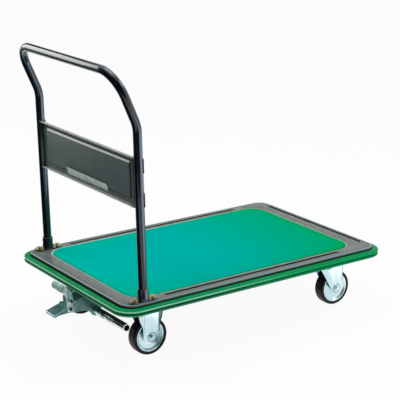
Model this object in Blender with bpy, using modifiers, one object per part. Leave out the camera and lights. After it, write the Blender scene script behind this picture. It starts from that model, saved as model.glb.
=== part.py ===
"""Platform hand truck: a steel deck on four casters, a bent tube handle and a foot brake.

Metres, +Z up. The handle stands at the -X end, the swivel casters are at the +X end,
and left is +Y for someone who holds the handle.
"""

import math

import bmesh
import bpy
from mathutils import Matrix, Vector

# ---------------------------------------------------------------- driving sizes

FIT = 0.0003  # clearance between pieces that touch

WHEEL_RADIUS = 0.0635
WHEEL_OVERHANG_REAR = 0.147  # deck end to the fixed axle
WHEEL_OVERHANG_FRONT = 0.135  # deck end to the swivel axis
WHEEL_INSET = 0.1163  # deck side to the wheel's middle plane
TYRE_WIDTH = 0.041
TYRE_DEPTH = 0.0177  # tread to the seat on the rim
RIM_FLANGE = 0.006  # height of the rim's flange over its seat
RIM_WALL = 0.0025
HUB_RADIUS = 0.015
HUB_WIDTH = 0.044
AXLE_RADIUS = 0.005
SLEEVE_WALL = 0.0027
AXLE_HEAD_RADIUS = 0.0085
AXLE_HEAD_HEIGHT = 0.0065

FORK_SHEET = 0.003
FORK_HALF_GAP = 0.0235
FORK_BEND = 0.009  # inner radius where leg meets crown
FORK_BOSS_RADIUS = 0.014
FORK_BOSS_RISE = 0.002
CASTER_RISE = 0.1085  # axle to the top of the mounting plate
CASTER_PLATE = 0.004
CASTER_PLATE_LENGTH = 0.105
CASTER_PLATE_WIDTH = 0.085
SWIVEL_TRAIL = 0.030
SWIVEL_RACE_HEIGHT = 0.0137
SWIVEL_RACE_RADIUS = 0.039
KINGPIN_RADIUS = 0.006

CHANNEL_DEPTH = 0.0499
CHANNEL_WIDTH = 0.120
CHANNEL_FLANGE = 0.014
CHANNEL_SHEET = 0.003
CHANNEL_SETBACK = 0.069  # deck side to the channel's end
RIB_DEPTH = 0.025
RIB_WIDTH = 0.060

DECK_LENGTH = 1.034
DECK_WIDTH = 0.669
DECK_CORNER = 0.045
DECK_SHEET = 0.002
DECK_SKIRT = 0.0315
DECK_EDGE_RADIUS = 0.005
MAT_RECESS = 0.003
MAT_THICKNESS = 0.0037
MAT_MARGIN_REAR = 0.056
MAT_MARGIN_FRONT = 0.071
MAT_MARGIN_SIDE = 0.0505
MAT_CORNER = 0.060
GROOVE_WIDTH = 0.007
GROOVE_DEPTH = 0.004
GROOVE_INSET = 0.0265  # deck side to the side groove's middle
GROOVE_START = 0.032  # socket flange to the side groove's start
GROOVE_END = 0.160  # deck end to the side groove's end
GROOVE_END_INSET = 0.0195  # deck end to the end groove's middle
GROOVE_END_SETBACK = 0.0685  # deck side to the end groove's end
DRAIN_RADIUS = 0.0036
DRAIN_SETBACK = 0.004  # a groove's end to the middle of its drain hole

BUMPER_DEPTH = 0.0221
BUMPER_HEIGHT = 0.022
BUMPER_DROP = 0.010  # deck top down to the bumper's top
BUMPER_SEAM = 0.0012

TUBE_RADIUS = 0.0143
TUBE_WALL = 0.0016
HANDLE_LEAN = 0.02  # radians, towards the user
LEG_INSET = 0.0747  # deck end to the leg
LEG_EDGE = 0.0229  # deck side to the leg's middle
LEG_HEIGHT = 0.5604  # deck to the bend
LEG_BEND_RADIUS = 0.110
TOP_SLANT = math.radians(22.1)
TOP_REACH = 0.1844
HANDLE_CORNER = 0.0832

PANEL_SHEET = 0.0015
PANEL_BASE = 0.3036  # deck to the panel's lower edge
PANEL_HEIGHT = 0.158
PANEL_LIP = 0.006
FIELD_RISE = 0.005
FIELD_MARGIN_SIDE = 0.0495  # leg's middle to the raised field
FIELD_MARGIN_TOP = 0.024
FIELD_MARGIN_BOTTOM = 0.026
CLAMP_SHEET = 0.0025
CLAMP_TAB_HEIGHT = 0.044
CLAMP_TAB_SETBACK = 0.003
LABEL_LENGTH = 0.274
LABEL_HEIGHT = 0.022
LABEL_SHEET = 0.0008
LABEL_OFFSET = 0.005
LABEL_BASE = 0.012

SOCKET_HEIGHT = 0.040
SOCKET_WALL = 0.0035
SOCKET_FLANGE_LENGTH = 0.104
SOCKET_FLANGE_WIDTH = 0.039
SOCKET_FLANGE = 0.004
SOCKET_BOLT_SPACING = 0.070
BOLT_RADIUS = 0.004
BOLT_FLATS = 0.014
BOLT_HEAD = 0.0055
WASHER_RADIUS = 0.0105
WASHER_THICKNESS = 0.0016

BRAKE_BAR_RADIUS = 0.0136
BRAKE_BAR_WALL = 0.0035
BRAKE_BAR_LENGTH = 0.440
BRAKE_GAP = 0.0126  # released bar to the tread
BRAKE_BAR_ANGLE = math.radians(151.7)  # direction from the axle to the released bar
BRAKE_SHAFT_RADIUS = 0.006
BRAKE_SHAFT_SETBACK = 0.022  # channel wall to the shaft
BRAKE_SHAFT_DROP = 0.0043  # channel's underside down to the shaft
BRAKE_PLATE = 0.005
BRAKE_PLATE_SPACING = 0.044  # between the two plates
BRAKE_HUB_RADIUS = 0.017
BAR_HUB_RADIUS = 0.020
BRACKET_SHEET = 0.004
BRACKET_SIDE_PLAY = 0.003
PEDAL_SHEET = 0.0027
PEDAL_PIVOT_OUT = 0.0097  # bumper face to the release pivot
PEDAL_PIVOT_DROP = 0.0615  # bumper's underside down to the release pivot
RELEASE_SHEET = 0.003
RELEASE_PLAY = 0.0015
RELEASE_STRAP = 0.026  # width of the release lever's upright strap
RELEASE_RISE = 0.087  # release pivot up to the top of the foot tread
RELEASE_LEAN = 0.029  # release pivot out to the middle of the foot tread
RELEASE_TREAD = 0.024  # height of the foot tread
RELEASE_TREAD_TILT = math.radians(27)
PIN_RADIUS = 0.004
STUD_RADIUS = 0.003
THROUGH = 0.1  # half the length of a cutter that passes right through a piece

CURVE_STEPS = 5
WHEEL_STEPS = 24

# ---------------------------------------------------------------- derived sizes

deck_half_x = DECK_LENGTH / 2
deck_half_y = DECK_WIDTH / 2
plate_top = WHEEL_RADIUS + CASTER_RISE
channel_bottom = plate_top + FIT
channel_top = channel_bottom + CHANNEL_DEPTH
recess_floor = channel_top + FIT + DECK_SHEET
deck_top = recess_floor + MAT_RECESS
fixed_x = WHEEL_OVERHANG_REAR - deck_half_x
swivel_x = deck_half_x - WHEEL_OVERHANG_FRONT
wheel_y = deck_half_y - WHEEL_INSET
leg_x = LEG_INSET - deck_half_x
leg_y = deck_half_y - LEG_EDGE
bumper_top = deck_top - BUMPER_DROP
bumper_bottom = bumper_top - BUMPER_HEIGHT
bumper_half_x = deck_half_x + FIT + BUMPER_DEPTH
sleeve_radius = AXLE_RADIUS + FIT + SLEEVE_WALL
rim_seat = WHEEL_RADIUS - TYRE_DEPTH - FIT
rim_half = TYRE_WIDTH / 2 - 0.002

# ---------------------------------------------------------------- scene and helpers

for item in list(bpy.data.objects):
    bpy.data.objects.remove(item, do_unlink=True)


def new_collection(name):
    made = bpy.data.collections.new(name)
    bpy.context.scene.collection.children.link(made)
    return made


PARTS = new_collection("platform_hand_truck")
CUTTERS = new_collection("cutters")


def paint(name, colour, roughness, metallic):
    made = bpy.data.materials.new(name)
    made.use_nodes = True
    shader = made.node_tree.nodes["Principled BSDF"]
    shader.inputs["Base Color"].default_value = (*colour, 1.0)
    shader.inputs["Roughness"].default_value = roughness
    shader.inputs["Metallic"].default_value = metallic
    made.diffuse_color = (*colour, 1.0)
    return made


GREY_PAINT = paint("deck_grey_paint", (0.30, 0.31, 0.30), 0.45, 0.0)
GREEN_MAT = paint("green_rubber_mat", (0.0, 0.42, 0.30), 0.6, 0.0)
GREEN_RUBBER = paint("green_bumper", (0.0, 0.30, 0.07), 0.4, 0.0)
BLACK_PAINT = paint("black_tube_paint", (0.006, 0.007, 0.010), 0.2, 0.0)
PANEL_PAINT = paint("panel_grey_paint", (0.065, 0.095, 0.095), 0.4, 0.0)
LABEL_FILM = paint("label_film", (0.42, 0.50, 0.46), 0.4, 0.0)
ZINC = paint("bright_zinc", (0.62, 0.66, 0.68), 0.3, 1.0)
YELLOW_ZINC = paint("yellow_zinc", (0.65, 0.55, 0.25), 0.3, 1.0)
BLACK_RUBBER = paint("black_rubber", (0.015, 0.014, 0.013), 0.6, 0.0)
PEDAL_PAINT = paint("teal_pedal_paint", (0.02, 0.10, 0.10), 0.35, 0.0)
DARK_STEEL = paint("dark_steel", (0.05, 0.055, 0.06), 0.45, 1.0)


def empty(name, parent=None, where=(0, 0, 0), turn=(0, 0, 0)):
    made = bpy.data.objects.new(name, None)
    PARTS.objects.link(made)
    made.parent = parent
    made.location = where
    made.rotation_euler = turn
    return made


cart = empty("cart")


def node(name, mesh, finish, parent=cart, where=(0, 0, 0), turn=(0, 0, 0)):
    """One piece of the truck, as an object with its own material."""
    made = bpy.data.objects.new(name, mesh)
    if not mesh.materials:
        mesh.materials.append(finish)
    PARTS.objects.link(made)
    made.parent = parent
    made.location = where
    made.rotation_euler = turn
    return made


def combine(target, mesh, operation, where=(0, 0, 0), turn=(0, 0, 0)):
    """Joins a shape to the target, or cuts it away, in the target's own frame."""
    tool = bpy.data.objects.new(f"{target.name}_{operation.lower()}", mesh)
    CUTTERS.objects.link(tool)
    tool.parent = target
    tool.location = where
    tool.rotation_euler = turn
    tool.hide_render = True
    tool.display_type = "WIRE"
    modifier = target.modifiers.new(operation.lower(), "BOOLEAN")
    modifier.operation = operation
    modifier.solver = "EXACT"
    modifier.object = tool


def join(target, mesh, where=(0, 0, 0), turn=(0, 0, 0)):
    combine(target, mesh, "UNION", where, turn)


def cut(target, mesh, where=(0, 0, 0), turn=(0, 0, 0)):
    combine(target, mesh, "DIFFERENCE", where, turn)


def evaluated_mesh(source):
    """The mesh that an object's curve or modifiers give, welded."""
    bpy.context.view_layer.update()
    graph = bpy.context.evaluated_depsgraph_get()
    mesh = bpy.data.meshes.new_from_object(source.evaluated_get(graph))
    work = bmesh.new()
    work.from_mesh(mesh)
    bmesh.ops.remove_doubles(work, verts=work.verts, dist=1e-6)
    work.to_mesh(mesh)
    work.free()
    return mesh


def settled(source):
    """Applies an object's modifiers, so that copies can share the finished mesh."""
    mesh = evaluated_mesh(source)
    for modifier in source.modifiers:
        if modifier.type == "BOOLEAN":
            bpy.data.objects.remove(modifier.object, do_unlink=True)
    finish = source.data.materials[0]
    source.modifiers.clear()
    mesh.materials.clear()
    mesh.materials.append(finish)
    source.data = mesh
    return mesh


def thrown_away(source):
    mesh = evaluated_mesh(source)
    bpy.data.objects.remove(source, do_unlink=True)
    return mesh


def from_bmesh(name, work):
    mesh = bpy.data.meshes.new(name)
    work.to_mesh(mesh)
    work.free()
    return mesh


def box(size, centre=(0, 0, 0)):
    work = bmesh.new()
    bmesh.ops.create_cube(work, size=1.0)
    bmesh.ops.scale(work, vec=Vector(size), verts=work.verts)
    bmesh.ops.translate(work, vec=Vector(centre), verts=work.verts)
    return from_bmesh("box", work)


TO_AXIS = {"X": (0, math.pi / 2, 0), "Y": (math.pi / 2, 0, 0), "Z": (0, 0, 0)}


def rod(radius, low, high, axis="Z", sides=24, phase=0.0):
    """A cylinder between two positions on its axis, or a hexagon with six sides."""
    work = bmesh.new()
    bmesh.ops.create_cone(
        work, cap_ends=True, segments=sides, radius1=radius, radius2=radius, depth=high - low
    )
    bmesh.ops.rotate(work, matrix=Matrix.Rotation(phase, 3, "Z"), verts=work.verts)
    bmesh.ops.translate(work, vec=(0, 0, (low + high) / 2), verts=work.verts)
    if axis == "X":
        bmesh.ops.rotate(work, matrix=Matrix.Rotation(math.pi / 2, 3, "Y"), verts=work.verts)
    if axis == "Y":
        bmesh.ops.rotate(work, matrix=Matrix.Rotation(-math.pi / 2, 3, "X"), verts=work.verts)
    return from_bmesh("rod", work)


def hexagon(flats, low, high, axis="Z"):
    return rod(flats / math.sqrt(3), low, high, axis, 6)


def turned(profile, steps, axis="Z"):
    """A profile of (radius, height) points, down its outer side, turned about an axis."""
    mesh = bpy.data.meshes.new("profile")
    points = [(radius, 0, height) for radius, height in profile]
    closed = profile[0][0] > 0 or profile[-1][0] > 0
    edges = [(i, i + 1) for i in range(len(points) - 1)]
    if closed:
        edges.append((len(points) - 1, 0))
    mesh.from_pydata(points, edges, [])
    source = bpy.data.objects.new("profile", mesh)
    PARTS.objects.link(source)
    screw = source.modifiers.new("turn", "SCREW")
    screw.steps = steps
    screw.render_steps = steps
    screw.use_merge_vertices = True
    screw.merge_threshold = 1e-6
    made = thrown_away(source)
    if axis == "Y":
        made.transform(Matrix.Rotation(-math.pi / 2, 4, "X"))
    return made


def curve_mesh(splines, closed, **settings):
    curve = bpy.data.curves.new("curve", "CURVE")
    for key, value in settings.items():
        setattr(curve, key, value)
    for points in splines:
        spline = curve.splines.new("POLY")
        spline.points.add(len(points) - 1)
        for point, place in zip(spline.points, points):
            point.co = (*place, 1.0) if len(place) == 3 else (*place, 0.0, 1.0)
        spline.use_cyclic_u = closed
    source = bpy.data.objects.new("curve", curve)
    PARTS.objects.link(source)
    return thrown_away(source)


def plate(outlines, thickness, plane="XY"):
    """A flat outline with its holes, extruded to both sides of its plane."""
    made = curve_mesh(
        outlines, True, dimensions="2D", fill_mode="BOTH", extrude=thickness / 2
    )
    if plane == "XZ":
        made.transform(Matrix.Rotation(math.pi / 2, 4, "X"))
    return made


def tube(path, radius, resolution):
    return curve_mesh(
        [path],
        False,
        dimensions="3D",
        bevel_depth=radius,
        bevel_resolution=resolution,
        use_fill_caps=True,
    )


def arc(centre, radius, start, end, steps=CURVE_STEPS):
    """Points on an arc, with its angles in degrees."""
    found = []
    for i in range(steps + 1):
        angle = math.radians(start + (end - start) * i / steps)
        found.append(
            (centre[0] + radius * math.cos(angle), centre[1] + radius * math.sin(angle))
        )
    return found


def corner_arc(before, here, after, radius, steps):
    """Points that round one corner of a path."""
    here = Vector(here)
    back = (Vector(before) - here).normalized()
    ahead = (Vector(after) - here).normalized()
    half = back.angle(ahead) / 2
    reach = radius / math.tan(half)
    centre = here + (back + ahead).normalized() * (radius / math.sin(half))
    start = here + back * reach - centre
    end = here + ahead * reach - centre
    sweep = start.angle(end)
    found = []
    for i in range(steps + 1):
        share = i / steps
        lead = math.sin((1 - share) * sweep) / math.sin(sweep)
        trail = math.sin(share * sweep) / math.sin(sweep)
        found.append(centre + start * lead + end * trail)
    return found


def rounded(points, radii, steps, closed=True):
    """A path with each corner rounded by its radius. A radius of 0 keeps the corner."""
    flat = len(points[0]) == 2
    places = [Vector((*p, 0.0)) if flat else Vector(p) for p in points]
    found = []
    count = len(places)
    for i, place in enumerate(places):
        if radii[i] <= 0 or (not closed and i in (0, count - 1)):
            found.append(place)
        else:
            found += corner_arc(
                places[i - 1], place, places[(i + 1) % count], radii[i], steps[i]
            )
    return [(p.x, p.y) if flat else (p.x, p.y, p.z) for p in found]


def ring(half_x, half_y, radius, z, middle_x=0.0, steps=CURVE_STEPS):
    """A rounded rectangle at one height."""
    found = []
    for quarter, (side_x, side_y) in enumerate(((1, 1), (-1, 1), (-1, -1), (1, -1))):
        centre = (
            middle_x + side_x * (half_x - radius),
            side_y * (half_y - radius),
        )
        for x, y in arc(centre, radius, 90 * quarter, 90 * quarter + 90, steps):
            found.append((x, y, z))
    return found


def loft(rows, around, wrap=False, cap_last=False):
    """A skin over rows of points: around closes each row, wrap joins last row to first."""
    work = bmesh.new()
    grid = [[work.verts.new(place) for place in row] for row in rows]
    width = len(grid[0])
    pairs = list(zip(grid, grid[1:]))
    if wrap:
        pairs.append((grid[-1], grid[0]))
    for low, high in pairs:
        for i in range(width if around else width - 1):
            j = (i + 1) % width
            work.faces.new((low[i], low[j], high[j], high[i]))
    if cap_last:
        work.faces.new(grid[-1])
    return from_bmesh("loft", work)


def thicken(target, thickness, offset):
    modifier = target.modifiers.new("sheet", "SOLIDIFY")
    modifier.thickness = thickness
    modifier.offset = offset
    modifier.use_even_offset = True


# ---------------------------------------------------------------- deck


def deck_ring(inset, z):
    return ring(deck_half_x - inset, deck_half_y - inset, DECK_CORNER - inset, z)


mat_x = (MAT_MARGIN_REAR - MAT_MARGIN_FRONT) / 2
mat_half_x = deck_half_x - (MAT_MARGIN_REAR + MAT_MARGIN_FRONT) / 2
mat_half_y = deck_half_y - MAT_MARGIN_SIDE


def recess_ring(grow, z):
    return ring(mat_half_x + grow, mat_half_y + grow, MAT_CORNER + grow, z, mat_x)


edge_rows = [deck_ring(0, deck_top - DECK_SKIRT)]
for step in range(4):
    turn = math.radians(30 * step)
    edge_rows.append(
        deck_ring(
            DECK_EDGE_RADIUS * (1 - math.cos(turn)),
            deck_top - DECK_EDGE_RADIUS * (1 - math.sin(turn)),
        )
    )
edge_rows.append(recess_ring(FIT + MAT_RECESS, deck_top))
edge_rows.append(recess_ring(FIT, recess_floor))
deck_pan = node("deck_pan", loft(edge_rows, around=True, cap_last=True), GREY_PAINT)
thicken(deck_pan, DECK_SHEET, -1)


def slot(length, width):
    """A straight slot with round ends, along X."""
    half = (length - width) / 2
    return arc((half, 0), width / 2, -90, 90) + arc((-half, 0), width / 2, 90, 270)


def press_groove(length, where, quarter_turn):
    """A pressed groove: its trough hangs under the sheet."""
    wide = GROOVE_WIDTH + 2 * DECK_SHEET
    top = deck_top - DECK_SHEET / 2
    floor = deck_top - GROOVE_DEPTH
    low = floor - DECK_SHEET
    turn = (0, 0, math.pi / 2 if quarter_turn else 0)
    trough = plate([slot(length + 2 * DECK_SHEET, wide)], top - low)
    join(deck_pan, trough, (*where, (top + low) / 2), turn)
    opening = plate([slot(length, GROOVE_WIDTH)], 2 * GROOVE_DEPTH)
    cut(deck_pan, opening, (*where, floor + GROOVE_DEPTH), turn)


groove_y = deck_half_y - GROOVE_INSET
groove_start = leg_x + SOCKET_FLANGE_LENGTH / 2 + GROOVE_START
groove_end = deck_half_x - GROOVE_END
groove_length = groove_end - groove_start
for side in (1, -1):
    place = ((groove_start + groove_end) / 2, side * groove_y)
    press_groove(groove_length, place, False)
end_groove_x = deck_half_x - GROOVE_END_INSET
end_groove_half = deck_half_y - GROOVE_END_SETBACK
press_groove(2 * end_groove_half, (end_groove_x, 0), True)

socket_bolts = []
for side in (1, -1):
    for along in (-1, 1):
        place = (leg_x + along * SOCKET_BOLT_SPACING / 2, side * leg_y)
        socket_bolts.append(place)
        hole = rod(BOLT_RADIUS + FIT, -DECK_SHEET, DECK_SHEET * 2, sides=12)
        cut(deck_pan, hole, (*place, deck_top - DECK_SHEET))
    for place in (
        (groove_end + DRAIN_SETBACK, side * groove_y),
        (end_groove_x - 1.5 * DRAIN_SETBACK, side * (end_groove_half + DRAIN_SETBACK)),
    ):
        hole = rod(DRAIN_RADIUS, -DECK_SHEET, DECK_SHEET * 2, sides=12)
        cut(deck_pan, hole, (*place, deck_top - DECK_SHEET))

mat_bottom = recess_floor + FIT
mat_top = mat_bottom + MAT_THICKNESS
mat_outline = [(x, y) for x, y, _ in recess_ring(0, 0)]
deck_mat = node(
    "deck_mat",
    plate([mat_outline], MAT_THICKNESS),
    GREEN_MAT,
    where=(0, 0, (mat_bottom + mat_top) / 2),
)
rounding = deck_mat.modifiers.new("edge", "BEVEL")
rounding.width = MAT_THICKNESS / 4
rounding.segments = 1
rounding.limit_method = "ANGLE"
rounding.angle_limit = math.radians(60)

# ---------------------------------------------------------------- bumper


def bumper_row(out, z):
    grow = FIT + out
    return ring(deck_half_x + grow, deck_half_y + grow, DECK_CORNER + grow, z)


lobe = BUMPER_HEIGHT / 4
lobe_out = BUMPER_DEPTH - lobe
upper_lobe = arc((lobe_out, bumper_top - lobe), lobe, 90, -90, 4)
lower_lobe = arc((lobe_out, bumper_bottom + lobe), lobe, 90, -90, 4)
section = [(0.0, bumper_bottom), (0.0, bumper_top)] + upper_lobe + lower_lobe[1:]
bumper_rows = [bumper_row(out, z) for out, z in section]
bumper = node("bumper", loft(bumper_rows, around=True, wrap=True), GREEN_RUBBER)
seam = box((3 * BUMPER_DEPTH, BUMPER_SEAM, 2 * BUMPER_HEIGHT))
cut(bumper, seam, (-bumper_half_x, 0, (bumper_top + bumper_bottom) / 2))

# ---------------------------------------------------------------- underframe

channel_half_y = deck_half_y - CHANNEL_SETBACK


def hat_section(width, depth, flange, sheet):
    """A hat profile open upwards, as (across, height) under a top at 0."""
    half = width / 2
    left = [
        (-half - flange, 0),
        (-half - flange, -sheet),
        (-half, -sheet),
        (-half, -depth),
    ]
    right = [(-x, z) for x, z in reversed(left)]
    inner = [
        (half + flange, 0),
        (half - sheet, 0),
        (half - sheet, sheet - depth),
        (sheet - half, sheet - depth),
        (sheet - half, 0),
    ]
    return left + right[:-1] + inner


for name, middle in (("cross_channel_rear", fixed_x), ("cross_channel_front", swivel_x)):
    profile = hat_section(CHANNEL_WIDTH, CHANNEL_DEPTH, CHANNEL_FLANGE, CHANNEL_SHEET)
    node(
        name,
        plate([profile], 2 * channel_half_y, "XZ"),
        DARK_STEEL,
        where=(middle, 0, channel_top),
    )
rib_start = fixed_x + CHANNEL_WIDTH / 2 + CHANNEL_FLANGE + FIT
rib_end = swivel_x - CHANNEL_WIDTH / 2 - CHANNEL_FLANGE - FIT
rib_profile = hat_section(RIB_WIDTH, RIB_DEPTH, CHANNEL_FLANGE, CHANNEL_SHEET)
node(
    "centre_channel",
    plate([rib_profile], rib_end - rib_start, "XZ"),
    DARK_STEEL,
    where=((rib_start + rib_end) / 2, 0, channel_top),
    turn=(0, 0, math.pi / 2),
)

# ---------------------------------------------------------------- wheels


def rim_profile():
    """One closed section of the wheel centre, from its upper flange round to its bore."""
    flange = rim_seat + RIM_FLANGE
    bed = rim_half - RIM_WALL
    well = rim_seat - RIM_WALL
    upper = [
        (sleeve_radius + FIT, HUB_WIDTH / 2),
        (HUB_RADIUS, HUB_WIDTH / 2),
        (HUB_RADIUS, rim_half * 0.82),
        (well, rim_half * 0.66),
        (flange - RIM_WALL, rim_half),
        (flange, bed),
        (rim_seat, bed),
    ]
    lower = [(radius, -height) for radius, height in reversed(upper)]
    return upper + lower


def tyre_profile():
    half = TYRE_WIDTH / 2
    seat = rim_seat + FIT
    bead = rim_half - RIM_WALL - FIT
    over = rim_seat + RIM_FLANGE + FIT
    upper = [
        (seat, bead),
        (over, bead),
        (over, rim_half),
        (WHEEL_RADIUS - TYRE_DEPTH * 0.42, half),
        (WHEEL_RADIUS - TYRE_DEPTH * 0.12, half * 0.78),
        (WHEEL_RADIUS, half * 0.30),
    ]
    lower = [(radius, -height) for radius, height in reversed(upper)]
    return upper + lower


rim_mesh = turned(rim_profile(), WHEEL_STEPS, "Y")
tyre_mesh = turned(tyre_profile(), WHEEL_STEPS, "Y")
rim_mesh.materials.append(ZINC)
tyre_mesh.materials.append(BLACK_RUBBER)
fork_outer = FORK_HALF_GAP + FORK_SHEET + FORK_BOSS_RISE
sleeve_mesh = turned(
    [
        (sleeve_radius, FORK_HALF_GAP - FIT),
        (sleeve_radius, FIT - FORK_HALF_GAP),
        (AXLE_RADIUS + FIT, FIT - FORK_HALF_GAP),
        (AXLE_RADIUS + FIT, FORK_HALF_GAP - FIT),
    ],
    12,
    "Y",
)
sleeve_mesh.materials.append(DARK_STEEL)


def make_axle(name, parent):
    """The wheel bolt, with its head outside one leg and its nut outside the other."""
    head = fork_outer + FIT
    made = node(name, rod(AXLE_RADIUS, -head - 0.001, head + 0.001, "Y", 12), ZINC, parent)
    join(made, hexagon(AXLE_HEAD_RADIUS * 1.8, head, head + AXLE_HEAD_HEIGHT, "Y"))
    join(made, hexagon(AXLE_HEAD_RADIUS * 1.8, -head - AXLE_HEAD_HEIGHT, -head, "Y"))
    return made


def fork_rows(stations, crown_rise, crown_span):
    """Rows of a folded fork: up one leg, over the crown and down the other.

    A station on a leg is (height, front edge, rear edge, fold), from the axle.
    """
    corner = crown_rise - FORK_BEND
    columns = ((0.0, -1.0), (0.1, 0.0), (0.5, 0.35), (0.9, 0.0), (1.0, -1.0))
    half = []
    for height, front, rear, fold in stations:
        half.append((FORK_HALF_GAP, height, 1.0, 0.0, front, rear, fold))
    front, rear, fold = stations[-1][1:]
    for step in (1, 2):
        turn = math.radians(45 * step)
        out = FORK_HALF_GAP - FORK_BEND * (1 - math.cos(turn))
        share = step / 2
        half.append(
            (
                out,
                corner + FORK_BEND * math.sin(turn),
                math.cos(turn),
                math.sin(turn),
                front + (crown_span[0] - front) * share,
                rear + (crown_span[1] - rear) * share,
                fold * (1 - share),
            )
        )
    rows = []
    for side in (1, -1):
        ordered = half if side > 0 else list(reversed(half))
        for out, height, normal_y, normal_z, front, rear, fold in ordered:
            row = []
            for share, lift in columns:
                x = front + (rear - front) * share
                push = fold * lift
                row.append((x, side * (out + push * normal_y), height + push * normal_z))
            rows.append(row)
    return rows


def finish_fork(fork):
    """Adds the bosses at the axle and drills them."""
    for side in (1, -1):
        low = FORK_HALF_GAP + FORK_SHEET / 2
        high = fork_outer
        ends = (low, high) if side > 0 else (-high, -low)
        join(fork, rod(FORK_BOSS_RADIUS, *ends, "Y", 12))
    cut(fork, rod(AXLE_RADIUS + FIT, -2 * fork_outer, 2 * fork_outer, "Y", 12))


# Fixed fork: the leg is straight below and widens into the crown.
fixed_crown = CASTER_RISE - CASTER_PLATE / 2 - FORK_SHEET
fixed_stations = [
    (-0.0225, -0.0100, 0.0100, 0.0000),
    (-0.0200, -0.0185, 0.0185, 0.0003),
    (-0.0130, -0.0262, 0.0262, 0.0005),
    (0.0000, -0.0300, 0.0300, 0.0007),
    (0.0355, -0.0310, 0.0310, 0.0012),
    (0.0600, -0.0410, 0.0410, 0.0026),
    (fixed_crown - FORK_BEND, -0.0490, 0.0490, 0.0035),
]
fixed_fork = node(
    "fixed_fork_left",
    loft(fork_rows(fixed_stations, fixed_crown, (-0.049, 0.049)), around=False),
    ZINC,
)
thicken(fixed_fork, FORK_SHEET, -1)
plate_outline = rounded(
    [
        (CASTER_PLATE_LENGTH / 2, CASTER_PLATE_WIDTH / 2),
        (-CASTER_PLATE_LENGTH / 2, CASTER_PLATE_WIDTH / 2),
        (-CASTER_PLATE_LENGTH / 2, -CASTER_PLATE_WIDTH / 2),
        (CASTER_PLATE_LENGTH / 2, -CASTER_PLATE_WIDTH / 2),
    ],
    [0.008] * 4,
    [3] * 4,
)
join(fixed_fork, plate([plate_outline], CASTER_PLATE), (0, 0, CASTER_RISE - CASTER_PLATE / 2))
finish_fork(fixed_fork)
fixed_fork_mesh = settled(fixed_fork)

# Swivel fork: the legs rake back from the crown to the trailing axle.
swivel_crown = CASTER_RISE - CASTER_PLATE - SWIVEL_RACE_HEIGHT - FIT - FORK_SHEET
swivel_stations = [
    (-0.0195, -0.0060, 0.0100, 0.0000),
    (-0.0165, -0.0120, 0.0160, 0.0004),
    (-0.0080, -0.0170, 0.0210, 0.0006),
    (0.0000, -0.0210, 0.0240, 0.0008),
    (0.0300, -0.0395, 0.0275, 0.0015),
    (0.0600, -0.0560, 0.0290, 0.0025),
    (swivel_crown - FORK_BEND, -0.0680, 0.0290, 0.0030),
]
crown_half = 0.044
crown_edges = (-SWIVEL_TRAIL - crown_half, 0.0230)
swivel_fork = node(
    "swivel_fork_left",
    loft(fork_rows(swivel_stations, swivel_crown, crown_edges), around=False),
    ZINC,
)
thicken(swivel_fork, FORK_SHEET, -1)
finish_fork(swivel_fork)
kingpin_hole = rod(KINGPIN_RADIUS + FIT, swivel_crown - 0.01, swivel_crown + 0.01, sides=16)
cut(swivel_fork, kingpin_hole, (-SWIVEL_TRAIL, 0, 0))
swivel_fork_mesh = settled(swivel_fork)

axle = make_axle("axle", cart)
axle_mesh = settled(axle)
bpy.data.objects.remove(axle, do_unlink=True)

# Swivel plate, with its raceway and kingpin: the crown turns under it.
race_low = -CASTER_PLATE - SWIVEL_RACE_HEIGHT
race_profile = [
    (0.0, -CASTER_PLATE / 2),
    (SWIVEL_RACE_RADIUS - 0.006, -CASTER_PLATE / 2),
    (SWIVEL_RACE_RADIUS, -CASTER_PLATE - 0.005),
    (SWIVEL_RACE_RADIUS, race_low + 0.003),
    (SWIVEL_RACE_RADIUS - 0.003, race_low),
    (KINGPIN_RADIUS, race_low),
    (KINGPIN_RADIUS, race_low - FORK_SHEET - 2 * FIT),
    (KINGPIN_RADIUS * 1.8, race_low - FORK_SHEET - 2 * FIT),
    (KINGPIN_RADIUS * 1.8, race_low - FORK_SHEET - 2 * FIT - 0.008),
    (0.0, race_low - FORK_SHEET - 2 * FIT - 0.008),
]
swivel_plate = node("swivel_plate_left", plate([plate_outline], CASTER_PLATE), ZINC)
swivel_plate.data.transform(Matrix.Translation((0, 0, -CASTER_PLATE / 2)))
join(swivel_plate, turned(race_profile, 16))
swivel_plate_mesh = settled(swivel_plate)

for side, word in ((1, "left"), (-1, "right")):
    hub = empty(f"fixed_axle_{word}", cart, (fixed_x, side * wheel_y, WHEEL_RADIUS))
    if side > 0:
        fixed_fork.parent = hub
    else:
        node(f"fixed_fork_{word}", fixed_fork_mesh, ZINC, hub)
    node(f"fixed_axle_bolt_{word}", axle_mesh, ZINC, hub)
    node(f"fixed_sleeve_{word}", sleeve_mesh, DARK_STEEL, hub)
    node(f"fixed_rim_{word}", rim_mesh, ZINC, hub)
    node(f"fixed_tyre_{word}", tyre_mesh, BLACK_RUBBER, hub)
    stem = empty(f"swivel_axis_{word}", cart, (swivel_x, side * wheel_y, plate_top))
    if side > 0:
        swivel_plate.parent = stem
    else:
        node(f"swivel_plate_{word}", swivel_plate_mesh, ZINC, stem)
    hub = empty(f"swivel_axle_{word}", stem, (SWIVEL_TRAIL, 0, -CASTER_RISE))
    if side > 0:
        swivel_fork.parent = hub
    else:
        node(f"swivel_fork_{word}", swivel_fork_mesh, ZINC, hub)
    node(f"swivel_axle_bolt_{word}", axle_mesh, ZINC, hub)
    node(f"swivel_sleeve_{word}", sleeve_mesh, DARK_STEEL, hub)
    node(f"swivel_rim_{word}", rim_mesh, ZINC, hub)
    node(f"swivel_tyre_{word}", tyre_mesh, BLACK_RUBBER, hub)

# ---------------------------------------------------------------- handle

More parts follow.
